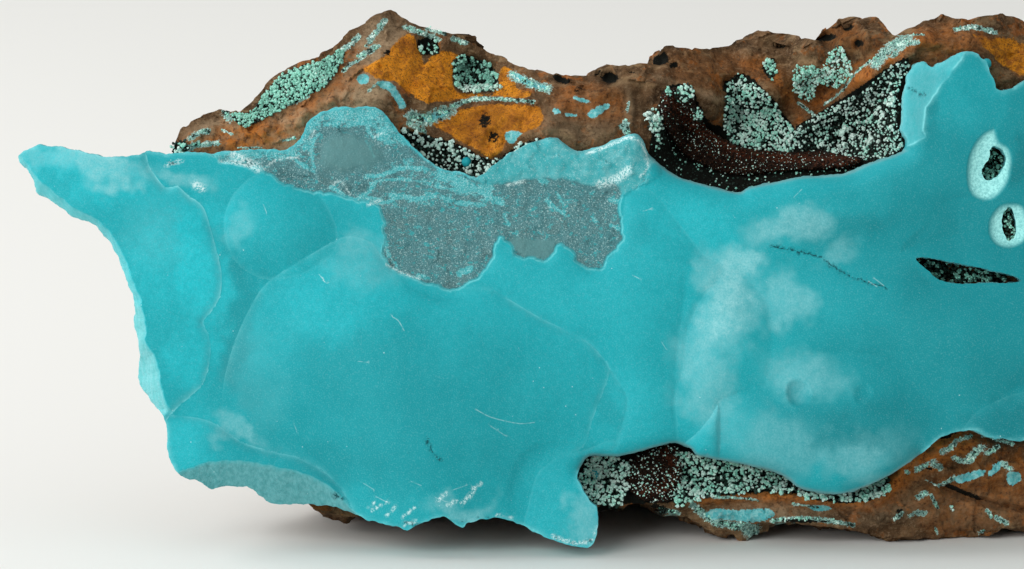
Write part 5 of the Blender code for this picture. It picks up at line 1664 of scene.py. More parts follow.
# Rusty stains of the rock: strength and outline; darker ovals, partly painted shade, as for the
# spots
WARM_FIELDS: Fields = [
    (0.4, [(46, 44), (48.5, 46.4), (53.4, 46.2), (53.6, 44.6), (48.6, 41.4)]),
    (1, [(20.4, 42.8), (25, 44.8), (27.8, 44.5), (28.2, 43.2), (24.2, 42.2)]),
    (0.6, [(30, 45), (34, 47.6), (36.4, 50), (34.6, 49.6), (28.6, 46)]),
    (0.95, [(88.4, 9), (92.4, 12.4), (97.4, 13.2), (97, 11.4), (93.4, 10), (91, 8.6), (89.6, 7),
     (86, 6.2), (74, 7), (69.6, 6.6), (72, 7.6), (78, 7.9), (84, 7), (87.2, 7.6)]),
    (0.55, [(55.6, 47.6), (58.6, 48.4), (61.8, 47.6), (62.4, 45.6), (59, 45.2), (56, 46)]),
    (0.7, [(79, 49.2), (80.6, 47.4), (82.4, 46.6), (84.2, 48.2), (82.6, 48.4), (81.4, 46.8)]),
    (0.7, [(74.6, 51), (77.6, 49), (80.6, 45.6), (79.4, 48.4), (77.4, 51)]),
    (0.6, [(83, 54.4), (85.6, 54.2), (87.2, 52.6), (84.2, 52.4)]),
    (0.8, [(85.6, 48.2), (91.8, 52.8), (89, 52.2), (86, 50)]),
    (0.25, [(67, 51.4), (72, 51.8), (75, 51.4), (74, 48.6), (69, 48.4)]),
    (0.5, [(92, 53.6), (96, 54.6), (99, 53), (96.6, 51.4), (93, 51.4)]),
    (0.5, [(17.6, 42.4), (22, 43.6), (28, 44.6), (31.4, 46.6), (30.6, 44.6), (27, 42.6)]),
    (0.45, [(94, 3.6), (100, 4.6), (106, 6), (104, 11), (98, 10.6), (92, 7)]),
]
DUSK_SPOTS = [
    (85.4, 52.6, 4.6, 2.4, 0, 1), (62.2, 46.4, 4.4, 3.4, 0, 0.7), (55.8, 45.4, 3.6, 2.8, 0, 0.25),
    (99.4, 11.2, 6, 2.8, 8, 0.9), (97, 6.4, 9, 4, 6, 0.6), (71, 50.6, 6, 2.4, 0, 0.3),
    (104, 30, 8, 26, 0, 0.3), (100, 52.4, 4, 1.8, 0, 0.75), (48.8, 44.6, 5, 2.6, 0, 0.55),
    (31.6, 5.4, 4, 2, 0, 1),
]
VEINS: Lines = [
    ([(41, 45.4), (42.4, 45), (43.6, 45.6), (44.8, 45.9)], 0.55),
    ([(45, 46.4), (47.2, 47.2), (49, 47.2)], 0.22), ([(49, 47.3), (51, 47.1), (53.4, 46.9)], 0.18),
    ([(51.2, 49.7), (52.8, 48.9), (54.8, 48.2)], 0.4), ([(36.6, 47.8), (37.9, 48.8)], 0.1),
    ([(65.2, 45.4), (65.8, 44.8), (66.2, 44)], 0.45), ([(62.6, 44.8), (62.8, 44)], 0.25),
    ([(62.2, 44.4), (62.8, 43.6)], 0.2), ([(63, 46.8), (62.8, 45.8)], 0.1),
    ([(87.8, 50.6), (89, 52), (90.4, 53)], 0.45), ([(89.6, 51.6), (91.2, 53.2)], 0.3),
    ([(83, 46.8), (84.6, 48), (86, 49.9), (88.2, 51.6), (90.4, 53.4), (92.6, 53.6)], 0.1),
    ([(90.4, 52.6), (92, 52.8)], 0.25), ([(96, 54.2), (98, 54.4), (100, 53.9)], 0.22),
    ([(36.8, 53.2), (37.6, 54.2), (38.3, 55.2)], 0.28),
    ([(35.8, 51.6), (36.8, 52), (37.6, 52.6)], 0.28),
    ([(34, 52.2), (35.2, 53), (35.6, 53.6)], 0.24), ([(34.2, 50), (35, 50.8)], 0.16),
    ([(36.4, 52.6), (37, 53)], 0.12), ([(35.2, 50.8), (36.2, 51.4)], 0.14),
    ([(40.4, 54.6), (42.2, 53.9), (43.8, 53.3)], 0.25), ([(42.6, 54.4), (44.4, 54)], 0.2),
    ([(45.2, 53.4), (46.6, 53)], 0.22), ([(18.8, 43.2), (19.8, 43.8), (20.6, 43.9)], 0.26),
    ([(18.6, 42.2), (19.6, 42.6)], 0.26), ([(19.6, 42.5), (21.6, 42.7)], 0.24),
    ([(22, 44), (23, 43.6)], 0.1), ([(28, 42.9), (29.4, 43.2)], 0.1),
    ([(23.6, 42.2), (26, 42.2)], 0.08), ([(94.5, 11.6), (95.3, 12), (95.9, 12.6)], 0.26),
    ([(97.4, 11), (98, 11.8), (98.5, 12)], 0.36), ([(99, 11.4), (100.1, 12.1)], 0.22),
    ([(95.8, 11), (96.8, 10.6), (97.6, 10.8)], 0.24), ([(92, 9.8), (92.9, 10.3)], 0.28),
    ([(93.6, 10.5), (94.3, 10)], 0.32), ([(90.8, 9.7), (91.1, 9.5)], 0.16),
    ([(94.2, 8.2), (95, 8.5), (95.8, 9)], 0.18), ([(92.8, 8.8), (94.2, 8.1)], 0.08),
    ([(100.6, 10.4), (101.4, 9.9)], 0.26), ([(92, 7.1), (92.8, 7.4)], 0.26),
    ([(93.4, 7.3), (93.7, 6.6), (94.1, 5.9)], 0.15), ([(95.5, 6.1), (95.8, 5.6)], 0.1),
    ([(89.8, 4.8), (90.5, 5.4)], 0.22), ([(91.2, 5.1), (91.8, 5.4)], 0.15),
    ([(91.9, 5.5), (92.8, 5.4)], 0.26), ([(99.2, 5.6), (99.6, 5)], 0.18),
    ([(100.2, 4.9), (101.2, 4.3)], 0.22), ([(98.4, 3.3), (99, 3.5)], 0.12),
    ([(94, 3.8), (94.2, 3.2)], 0.1), ([(88.2, 7.6), (89.2, 7.8)], 0.16),
    ([(96.2, 12.8), (97.4, 13.2)], 0.18), ([(77.4, 4.6), (80, 4.9), (83, 4.7), (85.6, 4.2)], 0.2),
    ([(79.4, 6.4), (82, 6)], 0.12), ([(69.4, 6.2), (71.6, 4.6), (73.6, 4.1), (75, 4.2)], 0.34),
    ([(66, 5.9), (68, 5.4)], 0.2), ([(71.4, 7), (74, 7), (76, 6.7)], 0.1),
    ([(72.4, 43.2), (73.4, 42.6)], 0.3), ([(98.6, 13.3), (101.6, 12.4)], 0.16),
    ([(22.2, 45.9), (22.7, 45.2)], 0.35), ([(40.8, 44.6), (42.4, 43.9)], 0.2),
    ([(80.4, 47), (81.6, 46), (82, 45.6)], 0.14),
    ([(28.2, 46.6), (29.4, 46.9), (30.6, 47.4)], 0.18),
]
BLUE_CHIPS: list[Outline] = [
    [(35.6, 49.4), (36.2, 49.7), (36.8, 49.5), (36.7, 48.8), (36, 48.6), (35.6, 48.9)],
    [(37.7, 48.9), (38.6, 48.9), (39.4, 48.4), (40.4, 46.8), (40.5, 46.3), (39.9, 46.2),
     (39, 47.7), (37.7, 48.4)],
    [(50.5, 43.6), (51.4, 43.9), (52.2, 43.6), (51.7, 43.2), (51.4, 42.6), (50.7, 42.8)],
    [(55.3, 46.1), (55.9, 46.2), (56.1, 45.8), (55.6, 45.6)],
    [(57.3, 47.4), (58.2, 47.3), (59.1, 46.9), (58.4, 46.8), (57.6, 47.1)],
    [(56.5, 45.7), (57.8, 45.6), (57.7, 45.4), (56.6, 45.4)],
    [(58.8, 45.6), (59.5, 46.2), (60.6, 46.7), (61.1, 46.4), (59.4, 45.2)],
    [(70.6, 5.3), (71.8, 5.9), (73.6, 5.7), (76.6, 5.9), (77.7, 5.4), (77, 4.8), (75.4, 4.5),
     (72.2, 4.8), (71, 4.8)],
    [(101.2, 9.4), (101.7, 9.6), (102.4, 9.5), (102.6, 8.8), (101.7, 8.1), (101.1, 8.7)],
    [(99.1, 9.1), (99.7, 10.2), (100.4, 10.7), (100.4, 9.9), (99.8, 9.3)],
    [(95.8, 8.9), (96.6, 9.3), (98.6, 9.8), (98.9, 9.4), (97.4, 8.7), (96.2, 8.4)],
    [(81.2, 6.1), (82.6, 6.2), (83.4, 5.9), (82.6, 5.6), (81.4, 5.7)],
    [(51, 49.9), (51.8, 49.8), (53.2, 49), (55, 48.4), (54.9, 48.1), (53, 48.5), (51.6, 49.2)],
    [(42, 45.3), (43.4, 45.8), (44.8, 46.1), (44.8, 45.7), (43.6, 45.1), (42.4, 44.8)],
    [(65, 45.2), (65.6, 45.4), (66, 45), (65.4, 44.7)],
]
# The rock's pockets, painted black: partly black ground, partly painted shade
DARK_AREAS: list[Outline] = [
    [(65, 41), (66.6, 47.6), (67.4, 48.6), (69.4, 48.5), (70, 46.8), (70.8, 45.4), (72, 44.6),
     (73, 44.8), (73, 48.6), (74.4, 49.9), (76, 49), (79.4, 45.2), (80.2, 43.8), (82, 45.6),
     (86.6, 48.6), (90.6, 51.2), (91.2, 49.8), (90.6, 45), (90.6, 41.5), (85, 39), (73.7, 37),
     (68, 38.4)],
    [(57.4, 12), (58, 8), (59.8, 6.4), (68, 6.6), (70, 7.4), (80, 7.7), (84, 7.2), (87.4, 7.8),
     (89.4, 10.2), (88, 11.5), (80, 12), (66, 14.5), (60, 13.5)],
]
# Black spots in the rock's pits, grooves and under a shelf: partly black ground, partly painted
# shade
DARK_SPOTS = [
    (61.1, 49.4, 1.1, 0.8, 0, 1), (66.5, 51.4, 0.9, 0.8, 0, 0.9), (67.6, 50.7, 0.6, 0.5, 0, 0.8),
    (56.2, 49.2, 1.4, 0.5, -20, 0.9), (83.2, 53.5, 1.3, 0.5, 10, 0.95),
    (85.2, 54.6, 0.7, 0.6, 0, 0.9), (86.2, 52.8, 0.7, 0.5, 0, 0.8), (78.6, 52.9, 0.9, 0.5, 0, 0.9),
    (57.9, 48.2, 0.8, 0.4, 30, 0.6), (42.6, 52.8, 1.5, 0.9, 0, 0.7), (48.5, 45, 0.9, 1.2, 0, 0.65),
    (49.3, 43.2, 0.8, 1, 20, 0.6), (63.4, 49.9, 0.6, 0.2, 0, 0.7), (60, 49.9, 0.6, 0.3, 30, 0.7),
    (38.6, 51.9, 0.5, 0.5, 0, 0.7), (90, 49, 1.2, 1.4, 0, 0.9), (73, 48.6, 0.5, 1, 0, 0.9),
    (97, 7.4, 2.8, 0.35, -22, 0.9), (95.6, 8, 1.2, 0.35, -20, 0.9),
    (93.2, 9.9, 0.5, 0.2, -10, 0.8), (95, 13.3, 1.2, 0.5, 20, 0.8), (90.2, 5.6, 0.6, 0.3, 20, 0.7),
    (80, 4.7, 4.4, 0.3, -3, 0.8), (58, 41.9, 0.6, 0.4, 0, 0.5), (66, 5.9, 2.4, 0.5, -8, 0.7),
    (60.4, 5.6, 1.2, 0.7, 0, 0.5),
]
PALE_SPOTS = [
    (30, 44.4, 7, 2.8, 25, 0.95), (35.6, 47.6, 5, 2.8, 25, 0.9), (38, 53, 3.4, 2.8, 40, 0.8),
    (21.6, 43.6, 4.6, 2, 14, 0.7), (67.5, 48.8, 2.6, 0.5, -20, 0.4),
    (71.2, 47.6, 1.8, 0.6, -20, 0.5), (62.9, 46, 0.7, 2.4, 0, 0.5), (57.4, 45, 5, 3.4, 0, 0.3),
    (43, 45.4, 3.4, 1.2, 10, 0.5), (97, 5.8, 8, 2.2, 0, 0.5), (78, 5.6, 7, 1.4, 0, 0.5),
    (88, 6, 4, 2, 20, 0.3),
]


@dataclass
class LimoniteMatrix:
    """The brown matrix: its fine mesh and its finish."""

    face: FaceFrame
    form: RockForm
    fine: float = 0.205
    coarse: float = 1.4
    back_spacing: float = 0.75
    seed: int = 6

    def outline(self) -> Array:
        """Draws the edge of the rock, seen from the front.

        Returns:
            A closed line with a rough edge.
        """
        spread = 1.0 + RIDGE_DEPTH / VIEW_DISTANCE
        middle = np.array(FACE_MIDDLE)
        ridge = [tuple(middle + (np.array(p) - middle) * spread) for p in RIDGE]
        line = rounded_line(ridge + RIGHT_END + FOOT + HIDDEN_EDGE, True, 0.32)
        return line + 0.14 * shift(line, waves, 1.4, 81, 4) + 0.16 * shift(line, facets, 1.3, 83)

    def values(self, flat: Array, share: Array) -> Marks:
        """Marks where each colour of the rock lies.

        Args:
            flat: Points of the face.
            share: 1 on the front, 0 on the back, between them on the walls.

        Returns:
            Named values for each point.
        """
        on_front = ramp(share, 0.6, 0.95)
        # Black under the crystal beds and in the pockets and pits: partly black ground, partly
        # painted shade
        beds = DARK_AREAS + [bed.area for bed in CRYSTAL_BEDS if bed.dark_ground]
        dark = filled(flat, [(1.0, area) for area in beds], -0.3, 0.3)
        marks = {
            "ochre": filled(flat, OCHRE_FIELDS, -0.5, 0.6),
            "vein": drawn_lines(flat, VEINS, 2.2),
            "blue": filled(flat, [(1.0, area) for area in BLUE_CHIPS], -0.2, 0.2),
            "dark": np.maximum(dark, strongest(flat, DARK_SPOTS)),
            "pale": strongest(flat, PALE_SPOTS),
            "dusk": strongest(flat, DUSK_SPOTS),
            "warm": filled(flat, WARM_FIELDS, -1.2, 0.8),
        }
        return {name: value * on_front for name, value in marks.items()}

    def build(self) -> None:
        """Builds the matrix and its finish."""
        rng = np.random.default_rng(self.seed)
        ring = self.outline()
        crust = self.form.crust.outline
        fine = even_points(ring, self.fine, rng, ring, 0.7 * self.fine)
        fine = fine[crust.depth(fine) < 1.6]
        coarse = even_points(ring, self.coarse, rng, fine, 0.7 * self.coarse)
        coarse = coarse[crust.depth(coarse) > 1.2]
        behind = even_points(ring, self.back_spacing, rng, ring, 0.7 * self.back_spacing)
        sheet = SolidSheet([ring], np.vstack([fine, coarse]), behind, 26)
        back = self.form.back(sheet.back, self.form.front(sheet.back))
        points = sheet.raise_between(self.form.front(sheet.front), back)
        free = 1.0 - ramp(sheet.share, 0.90, 1.0)
        rough = 0.9 * shift(points, waves, 7.0, 20) + 0.7 * shift(points, facets, 3.0, 91)
        points += (rough + 0.12 * shift(points, waves, 0.9, 95, 3)) * free[:, None]
        top = ramp(points[:, 1], 20.0, 34.0) * free
        points[:, :2] += (np.array(FACE_MIDDLE) - points[:, :2]) * 0.035 * top[:, None]
        placed = self.face.to_world(points)
        placed[:, 2] = np.maximum(placed[:, 2], 0.0)
        make_piece("limonite_rock", placed, sheet.faces, self.values(sheet.flat, sheet.share),
                   LimoniteFinish().make(), ("limonite_matrix",), 70.0)


def ball(detail: int) -> tuple[Array, Array]:
    """Makes the plain ball that every granule starts from.

    Args:
        detail: 1 for 20 triangles, 2 for 80.

    Returns:
        Its points, on a sphere of radius 1, and its triangles.
    """
    bpy.ops.mesh.primitive_ico_sphere_add(subdivisions=detail, radius=1.0)
    made = bpy.context.object
    points = np.array([tuple(vertex.co) for vertex in made.data.vertices])
    faces = np.array([tuple(face.vertices) for face in made.data.polygons])
    bpy.data.objects.remove(made)
    return points, faces


def turned(count: int, rng: Random) -> Array:
    """Makes random turns.

    Args:
        count: How many.
        rng: Source of the turns.

    Returns:
        One 3 by 3 matrix for each.
    """
    q = rng.standard_normal((count, 4))
    w, x, y, z = (q / np.linalg.norm(q, axis=1)[:, None]).T
    rows = [
        [1 - 2 * (y * y + z * z), 2 * (x * y - z * w), 2 * (x * z + y * w)],
        [2 * (x * y + z * w), 1 - 2 * (x * x + z * z), 2 * (y * z - x * w)],
        [2 * (x * z - y * w), 2 * (y * z + x * w), 1 - 2 * (x * x + y * y)],
    ]
    return np.array(rows).transpose(2, 0, 1)


@dataclass(frozen=True)
class Site:
    """Where the small pieces grow, and the finishes that they take."""

    face: FaceFrame
    rock: RockForm
    rosasite: Material
    goethite: Material
    crystal: Material


@dataclass
class Granules:
    """Misshapen balls that make up one piece."""

    name: str
    slot: str
    material: Material
    rough: float
    nodes: tuple[str, ...] = ()
    detail: int = 1
    sharp_deg: float = 0.0

    def build(self, face: FaceFrame, centres: Array, radius: Array, values: Marks,
              rng: Random) -> None:
        """Puts a misshapen ball at each place, with painted shade at its foot.

        Args:
            face: Where the drawing of the face stands.
            centres: Middles of the balls (u, v, w), in millimetres.
            radius: Radius of each ball, in millimetres.
            values: Named values for each ball, read by the material.
            rng: Source of the misshape.
        """
        shape, shape_faces = ball(self.detail)
        count = len(centres)
        stretch = rng.uniform(1.0 - self.rough, 1.0 + self.rough, (count, 1, 3))
        wobble = rng.standard_normal((count, len(shape), 1)).clip(-1.3, 1.3)
        grains = shape[None] * (1.0 + 0.7 * self.rough * wobble) * stretch
        grains = np.einsum("nij,nkj->nki", turned(count, rng), grains)
        points = grains * radius[:, None, None] + centres[:, None, :]
        faces = shape_faces[None] + (np.arange(count) * len(shape))[:, None, None]
        below = np.clip(-0.9 * grains[:, :, 2] - 0.18, 0.0, 0.9).ravel()
        marks = {name: np.repeat(value, len(shape)) for name, value in values.items()}
        marks["shade"] = np.clip(marks.get("shade", 0.0) + below, 0.0, 0.9)
        make_piece(self.name, face.to_world(points.reshape(-1, 3)), faces.reshape(-1, 3),
                   marks, self.material, self.nodes, self.sharp_deg)


@dataclass
class CrystalBed:
    """A crust of small granular crystals on the matrix."""

    name: str
    nodes: tuple[str, ...]
    area: Outline
    spacing: float
    size: float
    tones: tuple[float, float]
    dark_share: float
    lumps: float
    keep: float = 1.0
    lift: float = 0.1
    # Whether the rock under the bed is painted black, partly as painted shade between the grains
    dark_ground: bool = True
    sugar: int = 4

    def build(self, site: Site, seed: int) -> None:
        """Builds the bed.

        Args:
            site: Where it grows.
            seed: Chooses where the granules lie.
        """
        rng = np.random.default_rng(seed)
        line = rounded_line(self.area, True)
        line = line + 0.2 * shift(line, waves, 0.8, seed, 3)
        spots = strewn_points(line, self.spacing, 0.45, rng)
        spots = spots[rng.random(len(spots)) < self.keep]
        count = len(spots)
        dark = rng.random(count) + 0.5 * waves(spots, 1.1, seed + 3, 2) < self.dark_share
        radius = self.size * (0.6 + 0.8 * rng.random(count) ** 1.5) * np.where(dark, 0.9, 1.1)
        height = site.rock.front(spots) + self.lift
        height += self.lumps * (0.5 + waves(spots, 1.8, seed + 2, 3))
        height += radius * np.where(dark, -0.3, 0.5)
        low, high = self.tones
        clump = np.clip(0.5 + 0.8 * waves(spots, 1.4, seed + 4, 3), 0.0, 1.0)
        tone = low + (high - low) * (0.5 * rng.random(count) + 0.5 * clump)
        tone = np.where(dark, 0.12 * rng.random(count), tone)
        centres = np.column_stack([spots, height])
        parent = np.repeat(np.flatnonzero(~dark), self.sugar)
        away = rng.standard_normal((len(parent), 3))
        away[:, 2] = np.abs(away[:, 2])
        away /= np.linalg.norm(away, axis=1)[:, None]
        centres = np.vstack([centres, centres[parent] + 0.85 * away * radius[parent, None]])
        radius = np.append(radius, radius[parent] * rng.uniform(0.30, 0.55, len(parent)))
        paler = tone[parent] + rng.uniform(-0.15, 0.3, len(parent))
        tone = np.append(tone, np.clip(paler, 0.0, 1.0))
        shade = np.append(np.full(count, 0.20), 0.25 * (1.0 - away[:, 2]))
        bed = Granules(self.name, "green_crystal", site.crystal, 0.25, self.nodes)
        bed.build(site.face, centres, radius, {"grain": tone, "shade": shade}, rng)


CRYSTAL_BEDS = [
    CrystalBed("mint_druse", ("upper_pocket_druse",), [
        (73.5, 49.4), (74.5, 49.9), (75.2, 49.1), (77.5, 47.4), (78.3, 46.1), (80, 43.9),
        (79.8, 42.1), (78, 41.8), (74.5, 42.5), (72.8, 44.5), (73.1, 48.5),
    ], 0.27, 0.15, (0.35, 1), 0.22, 0.8, 1, 0.1, True, 3),
    CrystalBed("salt_lumps", (), [
        (83.6, 42), (85.2, 45.2), (86.2, 45), (87.4, 46.6), (88.6, 47.4), (89.4, 50), (90.6, 50.6),
        (89.6, 46.4), (89.2, 43), (87, 42),
    ], 0.46, 0.25, (0.75, 1), 0.05, 0.8, 0.32, 0.3, True, 3),
    CrystalBed("salt_druse", (), [
        (79.8, 43.9), (81.5, 45.4), (86.5, 47.9), (89, 50.1), (90.5, 50.9), (91.2, 50.5),
        (90, 47.9), (90.2, 45.9), (89.9, 44.7), (90.4, 42.1), (87, 40.9), (83, 41.9), (80.5, 42.1),
    ], 0.24, 0.125, (0.5, 1), 0.52, 0.8, 1, 0.1, True, 1),
    CrystalBed("ledge_druse", ("upper_ledge_druse",), [
        (79.7, 49.9), (80, 50.6), (81.5, 50.7), (82.5, 50.5), (83.8, 52.4), (84.8, 52.1),
        (85.5, 49.9), (84, 48.4), (83, 48.9), (82.2, 48.7), (81.7, 47.2), (80, 47.9),
    ], 0.23, 0.14, (0.3, 0.95), 0.12, 1.1, 1, 0.1, False, 3),
    CrystalBed("little_druse", (), [
        (76.7, 50.4), (77.2, 51.3), (78, 51.4), (78, 49.8), (77.4, 49.4),
    ], 0.3, 0.18, (0.3, 0.9), 0.35, 0.4),
    CrystalBed("hollow_grains", (), [
        (65.5, 42.9), (67.2, 44.9), (69, 42.9), (71.2, 41.5), (78, 40.3), (83, 40.2), (86.8, 40.7),
        (88.9, 41.4), (88, 40.3), (86, 39.5), (80, 39), (74, 37.5), (71.5, 38.1), (69, 38.7),
        (67, 39.9), (65.3, 41.7),
    ], 0.3, 0.095, (0.2, 0.9), 0.7, 0.5, 0.6, 0, True, 1),
    CrystalBed("rim_grains", (), [
        (64.8, 45.9), (66, 46), (66.8, 45), (67, 43.6), (66.4, 42.8), (65.4, 43.4), (64.9, 44.7),
    ], 0.32, 0.18, (0.4, 1), 0.3, 0.5, 0.8, 0.1, False),
    CrystalBed("foot_druse_left", ("lower_pocket_druse",), [
        (58.1, 9.1), (58.8, 10.9), (60, 11.4), (62.9, 10.4), (62.3, 6.4), (60.5, 6.2), (59, 7),
        (58.1, 8.1),
    ], 0.28, 0.16, (0.45, 1), 0.24, 0.6, 1, 1.2),
    CrystalBed("foot_druse_right", (), [
        (68, 11.6), (77, 9.7), (80, 7.8), (79, 7.4), (77, 7.6), (70, 6.9), (68, 6.1), (67.4, 7.1),
        (68, 8.9),
    ], 0.28, 0.165, (0.3, 0.95), 0.3, 0.6, 1, 0.7, True, 3),
    CrystalBed("foot_druse_strip", (), [
        (79.8, 7.6), (82, 8.3), (84.5, 7.4), (86, 7.9), (88, 9.7), (89, 9.6), (89.2, 8.1),
        (88.5, 7.2), (85, 6.5), (81.2, 7),
    ], 0.32, 0.2, (0.4, 1), 0.25, 0.5),
    CrystalBed("notch_grains", ("notch_druse",), [
        (40, 44.3), (41.5, 43.7), (45, 42.9), (47.8, 41.5), (49.5, 41), (52.2, 42.6), (54.4, 43.3),
        (52, 41.9), (48.2, 38.8), (47, 38.9), (44, 40), (40.4, 43),
    ], 0.33, 0.17, (0.75, 1), 0.42, 0.5, 1, 0.1, True, 3),
    CrystalBed("slope_grains", ("slope_druse",), [
        (22.9, 45.8), (24.8, 45.9), (27, 48.8), (28.8, 50.1), (31.6, 50.9), (33.8, 52.1),
        (34.2, 51.4), (32.2, 48.4), (27, 45.7), (24.5, 44.4), (23.2, 45),
    ], 0.23, 0.15, (0.25, 0.62), 0.15, 0.6, 1, 0.1, True, 2),
    CrystalBed("vug_grains", ("vug_druse",), [
        (45.2, 49.9), (45.4, 51.2), (46.2, 51.9), (47, 51.5), (49, 50.8), (49.7, 48.5),
        (46.5, 48.1), (45.4, 48.7),
    ], 0.29, 0.17, (0.15, 0.6), 0.4, 0.3),
    CrystalBed("vug_lip", (), [
        (45.6, 48.7), (46.4, 48.1), (49.6, 48.1), (49.8, 48.9), (47.8, 48.7), (46.6, 48.9),
    ], 0.26, 0.17, (0.6, 1), 0.05, 0.3, 1, 0.4),
    CrystalBed("peak_grains", (), [
        (41.6, 53.2), (42.6, 53.5), (43.7, 52.9), (43.7, 52), (42.4, 51.8), (41.6, 52.4),
    ], 0.34, 0.17, (0.2, 0.9), 0.3, 0.3, 0.7),
    CrystalBed("left_grains", (), [
        (16.7, 42.2), (17.3, 42.9), (18.2, 42.9), (18.8, 42.2), (18.2, 41.6), (17.2, 41.6),
    ], 0.32, 0.2, (0.3, 0.9), 0.6, 0.3, 1, 0.8),
    CrystalBed("slit_grains", ("slit_druse",), [
        (92.3, 31), (100, 29.6), (100.9, 29), (98.5, 28.6), (94, 28.9), (93, 29.8),
    ], 0.32, 0.17, (0.05, 0.4), 0.65, 0.4, 1, 0.6),
    CrystalBed("upper_ring_grains", ("upper_ring_druse",), [
        (99.2, 42.1), (100.3, 41.8), (100.5, 40.5), (99.8, 39.3), (98.8, 39), (98.3, 39.8),
        (98.9, 41),
    ], 0.25, 0.15, (0.05, 0.45), 0.55, 0.5, 1, 2.4),
    CrystalBed("lower_ring_grains", ("lower_ring_druse",), [
        (101, 36.2), (101.5, 35.5), (101.5, 33.3), (101, 33), (100.5, 35.3),
    ], 0.25, 0.15, (0.05, 0.45), 0.55, 0.5, 1, 2.4),
    CrystalBed("knob_caps", (), [
        (67.6, 47.6), (68, 48.4), (69, 48.6), (69.6, 47.9), (69.3, 47), (68.3, 46.8),
    ], 0.24, 0.15, (0.3, 0.9), 0.4, 0.3, 1, 2.7, False),
    CrystalBed("knob_cap_low", (), [
        (69.4, 46), (69.9, 46.4), (70.5, 46), (70.4, 45.2), (69.8, 45),
    ], 0.22, 0.14, (0.3, 0.9), 0.3, 0.3, 1, 2.3, False),
    CrystalBed("knob_cap_left", (), [
        (66.5, 48), (66.9, 48.4), (67.4, 48.1), (67.3, 47.6), (66.8, 47.5),
    ], 0.22, 0.13, (0.25, 0.6), 0.3, 0.2, 1, 2.4, False),
]


@dataclass
class GoethiteGrowth:
    """A rounded growth of dark goethite on the matrix, strewn with pale dots."""

    name: str
    node: str
    area: Outline
    crest: Outline
    swell: float
    reach: float
    dot_spacing: float
    dot_size: float
    spacing: float = 0.13
    tuft_spacing: float = 0.2
    tuft_size: float = 0.10
    seed: int = 9

    def height(self, flat: Array, rock: RockForm) -> Array:
        """Gives the granular surface of the growth.

        Args:
            flat: Points of the face.
            rock: The rock that it lies on.

        Returns:
            The level w, in millimetres.
        """
        depth = np.maximum(Region(self.area).depth(flat), 0.0)
        rise = np.sqrt(1.0 - (1.0 - np.clip(depth / self.reach, 0.0, 1.0)) ** 2)
        front = rock.front(flat) + 0.1 + self.swell * rise
        front += 0.55 * rise * waves(flat, 1.5, 103, 3)
        front += 0.34 * (0.55 - cells(flat, 0.55, 104))
        return front + 0.13 * (0.55 - cells(flat, 0.24, 105))

    def on_crest(self, flat: Array) -> Array:
        """Marks the crest of the growth, 1 at its middle."""
        return along_line(flat, self.crest, 2.5, 0.1, 1.1)

    def velvet(self, site: Site, rng: Random) -> None:
        """Builds the tufts that make the growth look like velvet.

        Args:
            site: Where it grows.
            rng: Source of the tufts' places.
        """
        spots = strewn_points(rounded_line(self.area, True), self.tuft_spacing, 0.5, rng)
        count = len(spots)
        radius = self.tuft_size * (0.5 + 1.1 * rng.random(count) ** 1.5)
        level = self.height(spots, site.rock) + radius * rng.uniform(-0.2, 1.2, count)
        # Tufts on the crest are redder: partly painted light
        rise = self.on_crest(spots) + rng.uniform(-1.1, 0.6, count)
        tufts = Granules(self.name + "_tufts", "goethite", site.goethite, 0.3)
        tufts.build(site.face, np.column_stack([spots, level]), radius,
                    {"rise": np.clip(rise, 0.0, 1.3)}, rng)

    def dots(self, site: Site, ring: Array, rng: Random) -> None:
        """Builds the pale dots on the growth.

        Args:
            site: Where it grows.
            ring: Closed edge of the growth.
            rng: Source of the dots' places.
        """
        spots = strewn_points(ring, self.dot_spacing, 0.6, rng)
        spots = spots[rng.random(len(spots)) + 0.8 * waves(spots, 1.2, 106, 2) < 0.70]
        count = len(spots)
        radius = self.dot_size * (0.5 + 0.9 * rng.random(count) ** 2)
        centres = np.column_stack([spots, self.height(spots, site.rock) + 0.5 * radius])
        dots = Granules(self.name + "_dots", "green_crystal", site.crystal, 0.15, (), 1, 80.0)
        dots.build(site.face, centres, radius, {"grain": 0.6 + 0.4 * rng.random(count)}, rng)

    def build(self, site: Site) -> None:
        """Builds the growth, its tufts and its pale dots.

        Args:
            site: Where it grows.
        """
        rng = np.random.default_rng(self.seed)
        self.velvet(site, rng)
        ring = rounded_line(self.area, True, 0.16)
        ring = ring + 0.14 * shift(ring, waves, 0.6, 101, 3)
        inner = even_points(ring, self.spacing, rng, ring, 0.7 * self.spacing)
        sheet = SolidSheet([ring], inner, even_points(ring, 0.6, rng, ring, 0.4), 3)
        points = sheet.raise_between(self.height(sheet.front, site.rock),
                                     site.rock.front(sheet.back) - 0.5)
        make_piece(self.name, site.face.to_world(points), sheet.faces,
                   # Redder on the crest: partly painted light
                   {"rise": 0.8 * self.on_crest(sheet.flat)}, site.goethite,
                   (self.node,), 80.0)
        self.dots(site, ring, rng)


